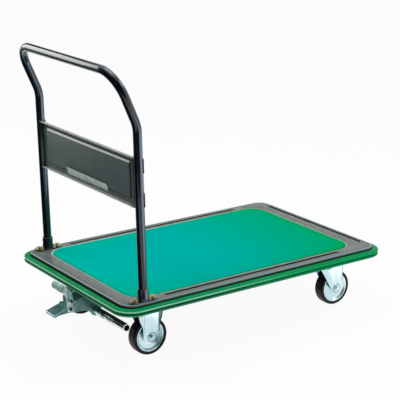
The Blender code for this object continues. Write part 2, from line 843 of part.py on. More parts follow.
handle = empty("handle_frame", cart, (leg_x, 0, deck_top), (0, -HANDLE_LEAN, 0))
top_x = -TOP_REACH * math.sin(TOP_SLANT)
top_z = LEG_HEIGHT + TOP_REACH * math.cos(TOP_SLANT)
leg_foot = SOCKET_FLANGE / 2


def handle_path(foot):
    corners = [
        (0, leg_y, foot),
        (0, leg_y, LEG_HEIGHT),
        (top_x, leg_y, top_z),
        (top_x, -leg_y, top_z),
        (0, -leg_y, LEG_HEIGHT),
        (0, -leg_y, foot),
    ]
    radii = [0, LEG_BEND_RADIUS, HANDLE_CORNER, HANDLE_CORNER, LEG_BEND_RADIUS, 0]
    return rounded(corners, radii, [0, 2, 6, 6, 2, 0], closed=False)


handle_tube = node("handle_tube", tube(handle_path(leg_foot), TUBE_RADIUS, 5), BLACK_PAINT, handle)
bore = tube(handle_path(leg_foot - TUBE_RADIUS), TUBE_RADIUS - TUBE_WALL, 2)
cut(handle_tube, bore)

# Panel: a pressed sheet with lips, a raised field and clamps round the legs.
clamp_inner = TUBE_RADIUS + FIT
clamp_outer = clamp_inner + CLAMP_SHEET
panel_end = leg_y - clamp_inner - CLAMP_SHEET / 2
panel_top = PANEL_BASE + PANEL_HEIGHT
field_low = PANEL_BASE + FIELD_MARGIN_BOTTOM
field_high = panel_top - FIELD_MARGIN_TOP
field_end = leg_y - FIELD_MARGIN_SIDE
levels = [
    (-PANEL_LIP, PANEL_BASE, 0),
    (-PANEL_LIP * 0.3, PANEL_BASE + 0.0002, 0),
    (0.0, PANEL_BASE + PANEL_LIP * 0.35, 0),
    (0.0, field_low - FIELD_RISE, 0),
    (0.0, field_low, 1),
    (0.0, field_high, 1),
    (0.0, field_high + FIELD_RISE, 0),
    (0.0, panel_top - PANEL_LIP * 0.35, 0),
    (-PANEL_LIP * 0.3, panel_top - 0.0002, 0),
    (-PANEL_LIP, panel_top, 0),
]
spans = [
    (-panel_end, 0),
    (-field_end - FIELD_RISE, 0),
    (-field_end, 1),
    (field_end, 1),
    (field_end + FIELD_RISE, 0),
    (panel_end, 0),
]
panel_rows = []
for x, z, row_raised in levels:
    panel_rows.append(
        [(x - FIELD_RISE * row_raised * raised, y, z) for y, raised in spans]
    )
handle_panel = node("handle_panel", loft(panel_rows, around=False), PANEL_PAINT, handle)
thicken(handle_panel, PANEL_SHEET, 0)
tab_low = PANEL_BASE + CLAMP_TAB_SETBACK
tab_high = panel_top - CLAMP_TAB_SETBACK
for side in (1, -1):
    # Angles run from the inner side of the leg towards +X.
    inward = -90 * side
    outer = arc((0, 0), clamp_outer, inward - 55 * side, inward + 140 * side, 10)
    inner = arc((0, 0), clamp_inner, inward + 140 * side, inward - 55 * side, 10)
    band = plate([outer + inner], PANEL_HEIGHT - 0.0008)
    join(handle_panel, band, (0, side * leg_y, PANEL_BASE + PANEL_HEIGHT / 2))
    gap = tab_high - tab_low - 2 * CLAMP_TAB_HEIGHT
    reach = 2 * clamp_outer
    window = box((reach, reach, gap), (reach / 2 + 0.002, side * reach / 2, 0))
    cut(handle_panel, window, (0, side * leg_y, (tab_low + tab_high) / 2))

label_x = -PANEL_SHEET / 2 - FIT - LABEL_SHEET / 2
label_low = PANEL_BASE + LABEL_BASE
label_rise = field_low - label_low
label_tilt = math.atan2(FIELD_RISE + 0.0004, label_rise)
label = node(
    "panel_label",
    box((LABEL_SHEET, LABEL_LENGTH, LABEL_HEIGHT), (0, 0, LABEL_HEIGHT / 2)),
    LABEL_FILM,
    handle,
    (label_x - 0.0002, LABEL_OFFSET, label_low),
    (0, -label_tilt, 0),
)

for side, word in ((1, "left"), (-1, "right")):
    flange_outline = slot(SOCKET_FLANGE_LENGTH, SOCKET_FLANGE_WIDTH)
    middle = (leg_x, side * leg_y, deck_top + FIT + SOCKET_FLANGE / 2)
    socket = node(
        f"leg_socket_{word}", plate([flange_outline], SOCKET_FLANGE), BLACK_PAINT, where=middle
    )
    collar_outer = TUBE_RADIUS + FIT + SOCKET_WALL
    collar_profile = [
        (0.0, SOCKET_HEIGHT),
        (collar_outer - 0.0015, SOCKET_HEIGHT),
        (collar_outer, SOCKET_HEIGHT - 0.0015),
        (collar_outer, SOCKET_HEIGHT * 0.35),
        (collar_outer + 0.0012, SOCKET_HEIGHT * 0.25),
        (collar_outer + 0.0012, 0.0),
        (0.0, 0.0),
    ]
    lean = (0, -HANDLE_LEAN, 0)
    join(socket, turned(collar_profile, 18), turn=lean)
    hole = rod(TUBE_RADIUS + FIT, -0.03, SOCKET_HEIGHT + 0.01, sides=18)
    cut(socket, hole, turn=lean)
    for along in (-1, 1):
        hole = rod(BOLT_RADIUS + FIT, -SOCKET_FLANGE, SOCKET_FLANGE, sides=12)
        cut(socket, hole, (along * SOCKET_BOLT_SPACING / 2, 0, 0))

bolt_seat = deck_top + 2 * FIT + SOCKET_FLANGE
nut_seat = deck_top - DECK_SHEET - FIT
words = ("left_rear", "left_front", "right_rear", "right_front")
shank = rod(BOLT_RADIUS, nut_seat - 0.008, bolt_seat + 0.001, sides=12)
bolt = node("socket_bolt", shank, YELLOW_ZINC)
join(bolt, rod(WASHER_RADIUS, bolt_seat, bolt_seat + WASHER_THICKNESS, sides=12))
head_low = bolt_seat + WASHER_THICKNESS / 2
head_high = bolt_seat + WASHER_THICKNESS + BOLT_HEAD
join(bolt, hexagon(BOLT_FLATS, head_low, head_high))
join(bolt, hexagon(BOLT_FLATS, nut_seat - BOLT_HEAD, nut_seat))
bolt_mesh = settled(bolt)
bpy.data.objects.remove(bolt, do_unlink=True)
for word, place in zip(words, socket_bolts):
    node(f"socket_bolt_{word}", bolt_mesh, YELLOW_ZINC, where=(*place, 0))

# ---------------------------------------------------------------- foot brake

bar_reach = WHEEL_RADIUS + BRAKE_BAR_RADIUS + BRAKE_GAP
bar_x = fixed_x + bar_reach * math.cos(BRAKE_BAR_ANGLE)
bar_z = WHEEL_RADIUS + bar_reach * math.sin(BRAKE_BAR_ANGLE)
channel_wall = fixed_x - CHANNEL_WIDTH / 2
shaft_x = channel_wall - BRAKE_SHAFT_SETBACK
shaft_z = channel_bottom - BRAKE_SHAFT_DROP
pivot_x = -bumper_half_x - PEDAL_PIVOT_OUT
pivot_z = bumper_bottom - PEDAL_PIVOT_DROP
plate_inner = BRAKE_PLATE_SPACING / 2
plate_outer = plate_inner + BRAKE_PLATE
ear_inner = plate_outer + BRACKET_SIDE_PLAY
ear_outer = ear_inner + BRACKET_SHEET

# The bracket is bolted to the rear channel, and its ears carry the shaft.
wall = channel_wall - FIT - shaft_x
top = channel_top - CHANNEL_SHEET - 0.001 - shaft_z
ear = [(wall, top), (wall - 0.012, top)]
ear += arc((0, 0), 0.016, 155, 320)
ear += [(wall, channel_bottom + 0.006 - shaft_z)]
bracket = node(
    "brake_bracket",
    plate([ear], 2 * ear_outer, "XZ"),
    DARK_STEEL,
    where=(shaft_x, 0, shaft_z),
)
reach = wall - BRACKET_SHEET
hollow_size = (2 * THROUGH, 2 * ear_inner, 2 * THROUGH)
pocket = box(hollow_size, (reach - THROUGH, 0, 0))
cut(bracket, pocket)
below = box(hollow_size, (0, 0, channel_bottom + 0.006 - shaft_z - THROUGH))
cut(bracket, below)
cut(bracket, rod(BRAKE_SHAFT_RADIUS + FIT, -THROUGH, THROUGH, "Y", 12))

lever = empty("brake_lever_axis", cart, (shaft_x, 0, shaft_z))
shaft_end = ear_outer + FIT
shaft_rod = rod(BRAKE_SHAFT_RADIUS, -shaft_end - 0.001, shaft_end + 0.001, "Y", 12)
shaft = node("brake_shaft", shaft_rod, ZINC, lever)
for side in (1, -1):
    ends = (shaft_end, shaft_end + 0.003) if side > 0 else (-shaft_end - 0.003, -shaft_end)
    join(shaft, rod(BRAKE_SHAFT_RADIUS * 1.6, *ends, "Y", 16))

# Lever plates, drawn from the shaft: hub, tube seat, and a tongue inside the pedal.
bar = (bar_x - shaft_x, bar_z - shaft_z)
pivot = (pivot_x - shaft_x, pivot_z - shaft_z)
heel = pivot[0] + 0.0195
pedal_rear = heel - 0.0015
tongue = pivot[0] + 0.0065
lever_outline = [
    (tongue, pivot[1] - 0.0165),
    (bar[0] - 0.030, bar[1] + 0.006),
]
lever_outline += arc(bar, BAR_HUB_RADIUS, 215, 365, 8)
lever_outline += arc((0, 0), BRAKE_HUB_RADIUS, -5, 110, 6)
lever_outline += [
    (heel + 0.024, pivot[1] + 0.028),
    (heel, pivot[1] + 0.018),
    (heel, pivot[1] + 0.0075),
    (tongue, pivot[1] + 0.0020),
]
bar_hole = arc(bar, BRAKE_BAR_RADIUS + FIT, 0, 337.5, 15)
shaft_hole = arc((0, 0), BRAKE_SHAFT_RADIUS + FIT, 0, 330, 11)
for side, word in ((1, "left"), (-1, "right")):
    node(
        f"brake_plate_{word}",
        plate([lever_outline, bar_hole, shaft_hole], BRAKE_PLATE, "XZ"),
        PEDAL_PAINT,
        lever,
        (0, side * (plate_inner + plate_outer) / 2, 0),
    )

half_bar = BRAKE_BAR_LENGTH / 2
bar_mesh = turned(
    [
        (BRAKE_BAR_RADIUS, half_bar),
        (BRAKE_BAR_RADIUS, -half_bar),
        (BRAKE_BAR_RADIUS - BRAKE_BAR_WALL, -half_bar),
        (BRAKE_BAR_RADIUS - BRAKE_BAR_WALL, half_bar),
    ],
    16,
    "Y",
)
node("brake_bar", bar_mesh, ZINC, lever, (bar[0], 0, bar[1]))

# Lock pedal: a folded tread whose flanges straddle the lever plates.
pedal_inner = plate_outer + FIT
pedal_outer = pedal_inner + PEDAL_SHEET
rear = (pedal_rear, pivot[1] + 0.011)
tip = (pivot[0] - 0.059, pivot[1] - 0.013)
slope = math.atan2(rear[1] - tip[1], rear[0] - tip[0])


def along_tread(distance, depth):
    """A point at a distance from the pedal's tip along its tread, and below it."""
    return (
        tip[0] + distance * math.cos(slope) + depth * math.sin(slope),
        tip[1] + distance * math.sin(slope) - depth * math.cos(slope),
    )


tread_length = math.hypot(rear[0] - tip[0], rear[1] - tip[1])
pedal_outline = [
    along_tread(0.0, 0.0),
    along_tread(-0.001, 0.008),
    along_tread(0.004, 0.008),
    along_tread(0.018, 0.0085),
    along_tread(0.052, 0.0175),
    (rear[0], pivot[1] - 0.017),
    rear,
]
lock_pedal = node(
    "lock_pedal", plate([pedal_outline], 2 * pedal_outer, "XZ"), PEDAL_PAINT, lever
)
hollow = [
    along_tread(PEDAL_SHEET, PEDAL_SHEET),
    along_tread(PEDAL_SHEET, 0.06),
    along_tread(tread_length + 0.03, 0.06),
    along_tread(tread_length + 0.03, PEDAL_SHEET),
]
cut(lock_pedal, plate([hollow], 2 * pedal_inner, "XZ"))
cut(lock_pedal, rod(PIN_RADIUS + FIT, -THROUGH, THROUGH, "Y", 12), (pivot[0], 0, pivot[1]))

# Release lever: an upright strap beside the lock pedal, folded over into a foot tread.
release = empty("release_lever_axis", lever, (pivot[0], 0, pivot[1]))
release_inner = pedal_outer + RELEASE_PLAY
release_outer = release_inner + RELEASE_SHEET
strap_half = RELEASE_STRAP / 2
tread_along = Vector((math.sin(RELEASE_TREAD_TILT), math.cos(RELEASE_TREAD_TILT)))
tread_in = Vector((tread_along.y, -tread_along.x))
tread_top = Vector((tread_along.x * RELEASE_TREAD / 2 - RELEASE_LEAN, RELEASE_RISE))
tread_foot = tread_top - tread_along * RELEASE_TREAD
fold = RELEASE_SHEET / 6  # the strap stops this far inside the tread's faces
fold_top = tread_top - tread_along * fold
fold_foot = tread_foot + tread_along * fold
strap_outline = arc((0, 0), strap_half, 180, 360, 8)
strap_outline += [
    (strap_half * 0.9, RELEASE_RISE * 0.26),
    (strap_half * 0.4, RELEASE_RISE * 0.64),
    tuple(fold_top + tread_in * RELEASE_SHEET * 1.5),
    tuple(fold_top + tread_in * fold),
    tuple(fold_foot + tread_in * fold),
    tuple(fold_foot + tread_in * RELEASE_SHEET * 1.5),
    (-strap_half * 1.6, RELEASE_RISE * 0.66),
    (-strap_half * 1.12, RELEASE_RISE * 0.40),
]
strap_middle = -(release_inner + release_outer) / 2
release_lever = node(
    "release_lever", plate([strap_outline], RELEASE_SHEET, "XZ"), ZINC, release
)
release_lever.data.transform(Matrix.Translation((0, strap_middle, 0)))
tread_half = RELEASE_TREAD / 2
tread_reach = 2 * release_outer - fold
tread_outline = [(0, -tread_half), (tread_reach - tread_half, -tread_half)]
tread_outline += arc((tread_reach - tread_half, 0), tread_half, -90, 90, 8)[1:]
tread_outline += [(0, tread_half)]
tread = plate([tread_outline], RELEASE_SHEET)
across = Vector((0, 1, 0))
upright = Vector((tread_along.x, 0, tread_along.y))
facing = across.cross(upright)
middle = tread_top - tread_along * tread_half + tread_in * RELEASE_SHEET / 2
stand = Matrix((across, upright, facing)).transposed().to_4x4()
stand.translation = (middle.x, fold - release_outer, middle.y)
tread.transform(stand)
join(release_lever, tread)
cut(release_lever, rod(PIN_RADIUS + FIT, -THROUGH, THROUGH, "Y", 12))
stud = (strap_half * 0.27, RELEASE_RISE * 0.293)
cut(release_lever, rod(STUD_RADIUS + FIT, -THROUGH, THROUGH, "Y", 12), (stud[0], 0, stud[1]))
slot_width = RELEASE_STRAP * 0.17
slot_opening = plate([slot(RELEASE_RISE * 0.3, slot_width)], 4 * RELEASE_SHEET)
slot_turn = (math.pi / 2, -math.radians(96), 0)
slot_place = (-strap_half * 0.45, strap_middle, RELEASE_RISE * 0.40)
cut(release_lever, slot_opening, slot_place, slot_turn)

# The pivot pin passes through the pedal, and the stud is nipped to the strap.
pin_end = release_outer + FIT
pin_far = pedal_outer + FIT
pin_rod = rod(PIN_RADIUS, -pin_end - 0.001, pin_far + 0.001, "Y", 12)
pivot_pin = node("release_pin", pin_rod, ZINC, release)
join(pivot_pin, rod(PIN_RADIUS * 1.75, -pin_end - 0.0025, -pin_end, "Y", 16))
join(pivot_pin, rod(PIN_RADIUS * 1.75, pin_far, pin_far + 0.0025, "Y", 16))
stud_back = FIT - release_inner
stud_rod = rod(STUD_RADIUS, -pin_end - 0.001, stud_back + 0.001, "Y", 12)
tie_bolt = node("release_tie_bolt", stud_rod, ZINC, release, (stud[0], 0, stud[1]))
join(tie_bolt, hexagon(STUD_RADIUS * 3.2, -pin_end - 0.004, -pin_end, "Y"))
join(tie_bolt, hexagon(STUD_RADIUS * 3.2, stud_back, stud_back + 0.012, "Y"))

# ---------------------------------------------------------------- centre the truck

bpy.context.view_layer.update()
graph = bpy.context.evaluated_depsgraph_get()
reach_x = []
for piece in PARTS.objects:
    if piece.type == "MESH":
        shown = piece.evaluated_get(graph)
        reach_x += [(shown.matrix_world @ Vector(corner)).x for corner in shown.bound_box]
cart.location.x = -(min(reach_x) + max(reach_x)) / 2

for piece in PARTS.objects:
    if piece.type == "MESH":
        piece.data.shade_smooth()
        piece.data.set_sharp_from_angle(angle=math.radians(35))
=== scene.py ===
"""Platform hand truck: finishes, fine forms, light and camera."""

import math

import bmesh
import bpy
from mathutils import Matrix, Vector


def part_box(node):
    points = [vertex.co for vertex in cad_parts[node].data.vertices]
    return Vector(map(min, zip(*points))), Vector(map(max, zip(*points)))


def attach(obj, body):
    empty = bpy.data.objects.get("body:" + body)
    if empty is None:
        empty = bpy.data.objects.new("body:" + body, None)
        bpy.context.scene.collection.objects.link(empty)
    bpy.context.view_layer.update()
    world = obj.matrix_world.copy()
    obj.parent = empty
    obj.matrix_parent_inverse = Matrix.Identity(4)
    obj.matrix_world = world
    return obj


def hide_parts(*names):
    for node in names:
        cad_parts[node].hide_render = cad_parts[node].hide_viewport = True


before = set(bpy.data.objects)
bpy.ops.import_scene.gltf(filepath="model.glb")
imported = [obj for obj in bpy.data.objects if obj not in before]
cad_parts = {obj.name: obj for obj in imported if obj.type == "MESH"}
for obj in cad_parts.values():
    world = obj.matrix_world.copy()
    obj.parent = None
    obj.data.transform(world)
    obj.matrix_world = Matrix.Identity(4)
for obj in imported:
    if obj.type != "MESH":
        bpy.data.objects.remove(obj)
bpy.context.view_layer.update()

SIDES = (("left", 1), ("right", -1))

# ---------------------------------------------------------------- sizes, in metres

bumper_low, bumper_high = (Vector(corner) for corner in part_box("bumper"))
deck_low, deck_high = (Vector(corner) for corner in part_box("deck_pan"))
mat_low, mat_high = (Vector(corner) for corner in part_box("deck_mat"))
bar_low, bar_high = (Vector(corner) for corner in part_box("brake_bar"))
DECK_MID = (deck_low.x + deck_high.x) / 2
DECK_HALF_X = (deck_high.x - deck_low.x) / 2
DECK_HALF_Y = deck_high.y
DECK_TOP = deck_high.z
DECK_REAR = DECK_MID - DECK_HALF_X
DECK_CORNER = 0.045
MAT_MID = (mat_low.x + mat_high.x) / 2
MAT_HALF_X = (mat_high.x - mat_low.x) / 2
MAT_HALF_Y = mat_high.y
MAT_CORNER = 0.060
FIXED_AXLE_X, SWIVEL_AXLE_X = (
    (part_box(f"{kind}_tyre_left")[0][0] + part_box(f"{kind}_tyre_left")[1][0]) / 2
    for kind in ("fixed", "swivel")
)
BAR_HALF = (bar_high.y - bar_low.y) / 2
TREAD_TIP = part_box("release_lever")[0][0]
TREAD_INNER = TREAD_TIP + 0.045
# The bumper is two equal rolls, one above the other.
ROLL = (bumper_high.z - bumper_low.z) / 4
UPPER_ROLL_Z = bumper_high.z - ROLL
LOWER_ROLL_Z = bumper_low.z + ROLL
BUMPER_SEAM = (bumper_low.z + bumper_high.z) / 2
LEG_X = DECK_MID - 0.4423
LEG_Y = 0.3116
TUBE_RADIUS = 0.0143
LEAN = 0.02
WHEEL_RADIUS = 0.0635
FORK_FOLD = 0.0268
PANEL_LOW = 0.3036
PANEL_HIGH = PANEL_LOW + 0.158
PANEL_MIDDLE = (PANEL_LOW + PANEL_HIGH) / 2
FIELD_LOW = PANEL_LOW + 0.026
FIELD_HIGH = PANEL_HIGH - 0.024
FIELD_END = LEG_Y - 0.0495

# ---------------------------------------------------------------- shader tools


class Signal:
    """A shader socket that can stand in a sum."""

    def __init__(self, tree, socket):
        self.tree = tree
        self.socket = socket

    def maths(self, operation, first, second=None):
        values = {0: first} if second is None else {0: first, 1: second}
        return self.tree.make("ShaderNodeMath", {"operation": operation}, values)

    def __add__(self, other):
        return self.maths("ADD", self, other)

    def __radd__(self, other):
        return self.maths("ADD", other, self)

    def __sub__(self, other):
        return self.maths("SUBTRACT", self, other)

    def __rsub__(self, other):
        return self.maths("SUBTRACT", other, self)

    def __mul__(self, other):
        return self.maths("MULTIPLY", self, other)

    def __pow__(self, other):
        return self.maths("POWER", self, other)

    def largest(self, other):
        return self.maths("MAXIMUM", self, other)

    def smallest(self, other):
        return self.maths("MINIMUM", self, other)

    def size(self):
        return self.maths("ABSOLUTE", self)

    def back_and_forth(self, step):
        return self.maths("PINGPONG", self, step)


class Tree:
    """The shader nodes of a material or a world."""

    def __init__(self, owner):
        owner.use_nodes = True
        self.nodes = owner.node_tree.nodes
        self.links = owner.node_tree.links

    def join(self, socket, value):
        if isinstance(value, Signal):
            self.links.new(value.socket, socket)
        else:
            socket.default_value = value

    def make(self, kind, settings=None, values=None, out=0):
        node = self.nodes.new(kind)
        for key, value in (settings or {}).items():
            setattr(node, key, value)
        for key, value in (values or {}).items():
            self.join(node.inputs[key], value)
        return Signal(self, node.outputs[out])

    def seen(self):
        """1 where a ray comes from the camera, from a gloss or through a clear surface."""
        rays = ("Is Camera Ray", "Is Glossy Ray", "Is Transmission Ray")
        camera, glossy, clear = (self.make("ShaderNodeLightPath", out=ray) for ray in rays)
        return camera.largest(glossy).largest(clear)


class Finish(Tree):
    """A surface finish: one material with a Principled shader."""

    def __init__(self, name, colour, roughness, metallic=0.0, **fixed):
        self.material = bpy.data.materials.new(name)
        super().__init__(self.material)
        self.shader = self.nodes["Principled BSDF"]
        self.feed("Base Color", (*colour, 1.0))
        self.feed("Roughness", roughness)
        self.feed("Metallic", metallic)
        for key, value in fixed.items():
            self.feed(key.replace("_", " "), value)
        self.material.diffuse_color = (*colour, 1.0)

    def feed(self, name, value):
        self.join(self.shader.inputs[name], value)

    def place(self):
        return self.make("ShaderNodeTexCoord", out="Object")

    def axes(self):
        place = self.place()
        return [self.make("ShaderNodeSeparateXYZ", values={0: place}, out=axis) for axis in "XYZ"]

    def stretched(self, scale):
        return self.make("ShaderNodeMapping", values={"Vector": self.place(), "Scale": scale})

    def noise(self, scale, detail=3.0, roughness=0.5, stretch=None):
        where = self.stretched(stretch) if stretch else self.place()
        values = {"Vector": where, "Scale": scale, "Detail": detail, "Roughness": roughness}
        return self.make("ShaderNodeTexNoise", values=values)

    def shaped(self, signal, low, high, to_low=0.0, to_high=1.0, smooth=True):
        settings = {"interpolation_type": "SMOOTHSTEP" if smooth else "LINEAR"}
        values = {0: signal, 1: low, 2: high, 3: to_low, 4: to_high}
        return self.make("ShaderNodeMapRange", settings, values)

    def under(self, signal, low, high, strength=1.0):
        """A mask that is full below the first level and gone above the second."""
        return self.shaped(signal, low, high, strength, 0.0)

    def near(self, signal, inner, outer, strength=1.0):
        """A mask for a line where the signal is nought, fading out on both sides."""
        return self.under(signal.size(), inner, outer, strength)

    def mottled(self, cloud, first, second, low=0.3, high=0.7):
        """Two colours, as they show, in patches."""
        return self.blend(self.shaped(cloud, low, high), straight(*first), straight(*second))

    def blend(self, share, first, second):
        settings = {"data_type": "RGBA"}
        first = first if isinstance(first, Signal) else (*first, 1.0)
        second = second if isinstance(second, Signal) else (*second, 1.0)
        return self.make("ShaderNodeMix", settings, {0: share, 6: first, 7: second}, out=2)

    def rounded_distance(self, middle, half_x, half_y, corner):
        """How far a point lies outside a rounded rectangle, seen from above."""
        x, y, _ = self.axes()
        past_x = ((x - middle).size() - (half_x - corner)).largest(0.0)
        past_y = (y.size() - (half_y - corner)).largest(0.0)
        return (past_x * past_x + past_y * past_y) ** 0.5 - corner

    def bump(self, height, distance, strength=1.0):
        values = {"Height": height, "Distance": distance, "Strength": strength}
        self.feed("Normal", self.make("ShaderNodeBump", values=values))


def straight(red, green, blue):
    """A colour as it shows, 0 to 255, turned into light."""
    return tuple(
        value / 12.92 if value <= 0.04045 else ((value + 0.055) / 1.055) ** 2.4
        for value in (red / 255, green / 255, blue / 255)
    )


# ---------------------------------------------------------------- finishes


def grey_deck_paint():
    """Streaked grey on the deck, with painted highlights on its lips and rounded edge, and painted
    shade on its fold line, in its grooves and along its skirt.
    """
    made = Finish("grey_deck_paint", straight(122, 128, 124), 0.38, Specular_IOR_Level=0.24)
    x, _, z = made.axes()
    along = made.noise(60.0, 3.0, 0.6, (0.35, 6.0, 6.0))
    across = made.noise(60.0, 3.0, 0.6, (6.0, 0.35, 6.0))
    at_ends = made.shaped((x - MAT_MID).size(), MAT_HALF_X - 0.01, MAT_HALF_X + 0.01)
    streaks = along + (across - along) * at_ends
    fine = made.noise(160.0, 2.0)
    cloud = made.noise(5.0, 3.0)
    tint = made.mottled(streaks, (72, 93, 87), (133, 131, 126), 0.38, 0.62)
    tint = made.blend(made.shaped(cloud, 0.35, 0.7) * 0.35, tint, straight(86, 104, 100))
    tint = made.blend(fine * 0.12, tint, straight(84, 90, 88))
    rim = made.rounded_distance(MAT_MID, MAT_HALF_X, MAT_HALF_Y, MAT_CORNER)
    # A painted highlight on the lip round the mat's recess, where it catches the light, most at
    # the handle end.
    lip = made.shaped(rim, 0.0004, 0.0020) * made.under(rim, 0.0056, 0.0080)
    lip = lip * made.shaped(x, -0.20, 0.40, 0.85, 0.42)
    tint = made.blend(lip, tint, straight(186, 212, 204))
    edge = made.rounded_distance(DECK_MID, DECK_HALF_X, DECK_HALF_Y, DECK_CORNER)
    tint = made.blend(made.shaped(edge, -0.014, -0.010) * 0.6, tint, straight(96, 108, 114))
    # Faint lines drawn out along the handle end, and painted shade on a fold line inside the
    # deck's edge.
    drawn = made.under(edge.back_and_forth(0.0052), 0.0004, 0.0022, 0.34)
    drawn = drawn * made.under(x, -0.46, -0.42)
    tint = made.blend(drawn, tint, straight(78, 88, 84))
    fold = made.near(edge + 0.0125, 0.0006, 0.0024, 0.55)
    tint = made.blend(fold, tint, straight(66, 76, 78))
    # Painted highlight on the deck's rounded edge.
    rounded = made.shaped(z, DECK_TOP - 0.0030, DECK_TOP - 0.0014)
    rounded = made.shaped(edge, -0.0060, -0.0030) * rounded
    tint = made.blend(rounded * 0.6, tint, straight(166, 186, 186))
    # Painted shade: the grooves' floors and the skirt below the edge are dark, and the underside
    # with them.
    field = made.under(edge, -0.010, -0.007) * made.shaped(rim, 0.0050, 0.0064)
    groove_shade = made.under(z, DECK_TOP - 0.0014, DECK_TOP - 0.0004) * field
    handle_end = made.under(x, DECK_REAR + 0.001, DECK_REAR + 0.008)
    below = made.under(z - handle_end * 0.0022, DECK_TOP - 0.0072, DECK_TOP - 0.0054)
    shade = groove_shade.largest(below)
    made.feed("Base Color", made.blend(shade, tint, straight(16, 21, 20)))
    made.feed("Roughness", 0.38 + streaks * 0.03 + shade * 0.4)
    made.bump(fine, 0.000004, 0.2)
    return made.material


def teal_mat_rubber():
    """Rubber that turns from teal in the middle to green at the rim and the far end."""
    made = Finish("teal_mat_rubber", straight(0, 174, 160), 0.62, Specular_IOR_Level=0.0)
    x, y, _ = made.axes()
    along = x - (MAT_MID - 0.14)
    along = (along * 0.90).largest(along * -0.62)
    across = (y + 0.01 + x * 0.10) * 0.85
    away = (along * along + across * across) ** 0.5
    cloud = made.noise(3.0, 2.0)
    share = made.shaped(away + (cloud - 0.5) * 0.06, 0.10, 0.64, smooth=False)
    far = made.shaped(y, 0.02, 0.24) * made.shaped(x, -0.30, 0.10)
    share = share - far * 0.16
    rim = made.rounded_distance(MAT_MID, MAT_HALF_X, MAT_HALF_Y, MAT_CORNER)
    corner = made.shaped(x, 0.0, MAT_HALF_X) * 0.16 + 0.10
    share = (share + made.shaped(rim, -0.030, -0.002) * corner).smallest(1.0).largest(0.0)
    colour = made.blend(share, straight(0, 181, 174), straight(0, 170, 90))
    # Painted light: towards the handle end the mat is brighter, and a little bluer.
    brightened_handle_end = made.blend(share, straight(0, 200, 190), straight(0, 186, 120))
    colour = made.blend(made.under(x, -0.44, -0.12, 0.75), colour, brightened_handle_end)
    grain = made.noise(800.0, 2.0)
    made.feed("Base Color", made.blend(grain * 0.10, colour, straight(0, 130, 110)))
    made.feed("Roughness", 0.52 + grain * 0.16)
    made.bump(grain, 0.00022, 0.6)
    return made.material


def green_bumper_rubber():
    """Glossy green rubber: a painted highlight on each roll, painted shade from the seam between
    them down over the lower roll and along the top's turn, and a painted shadow at its back.
    """
    made = Finish("green_bumper_rubber", straight(0, 150, 86), 0.26, Specular_IOR_Level=0.025)
    x, _, z = made.axes()
    cloud = made.noise(7.0, 3.0)
    fine = made.noise(420.0, 2.0)
    colour = made.mottled(cloud, (0, 146, 82), (0, 164, 94))
    towards_far = made.shaped(x, -0.25, 0.24)
    # Painted shade over the lower roll, less towards the far end.
    low = made.under(z, BUMPER_SEAM - 0.0006, BUMPER_SEAM + 0.0022)
    colour = made.blend(low * (0.80 - towards_far * 0.66), colour, straight(0, 84, 50))
    # Painted shade where the top turns down to the front.
    turn = made.near(z - bumper_high.z + 0.0010, 0.0004, 0.0009, 0.5)
    colour = made.blend(turn, colour, straight(0, 92, 56))
    # Painted highlight lines on the upper and lower roll, paler at the handle end and greener at
    # the far end.
    upper = made.near(z - UPPER_ROLL_Z - 0.0004, 0.0016, 0.0032)
    lower = made.near(z - LOWER_ROLL_Z + 0.0012, 0.0008, 0.0024, 0.4)
    lit = made.blend(towards_far, straight(176, 248, 214), straight(16, 206, 124))
    colour = made.blend(upper.largest(lower) * (0.65 + cloud * 0.4), colour, lit)
    # Painted shadow along the bumper's back against the deck's edge, wider at the handle end.
    edge = made.rounded_distance(DECK_MID, DECK_HALF_X, DECK_HALF_Y, DECK_CORNER)
    handle_end = made.under(x, DECK_REAR - 0.002, DECK_REAR + 0.004)
    back = made.under(edge - handle_end * 0.0014, 0.0018, 0.0036)
    colour = made.blend(back, colour, straight(0, 26, 16))
    made.feed("Base Color", colour)
    made.feed("Roughness", 0.20 + fine * 0.12)
    made.bump(fine, 0.00006, 0.5)
    return made.material


def gloss_black_paint():
    """Black enamel on the handle, its clamps and its sockets, with a slight peel."""
    made = Finish("gloss_black_paint", (0.004, 0.006, 0.010), 0.14, Coat_Weight=0.6)
    made.feed("Specular Tint", (0.80, 0.91, 1.0, 1.0))
    made.feed("Coat Tint", (0.90, 0.96, 1.0, 1.0))
    made.feed("Coat Roughness", 0.05)
    peel = made.noise(90.0, 2.0)
    cloud = made.noise(7.0, 2.0)
    colour = made.blend(made.shaped(cloud, 0.3, 0.7), (0.003, 0.005, 0.008), (0.005, 0.009, 0.014))
    made.feed("Base Color", colour)
    made.feed("Roughness", 0.12 + peel * 0.10)
    made.bump(peel, 0.00006, 0.4)
    return made.material


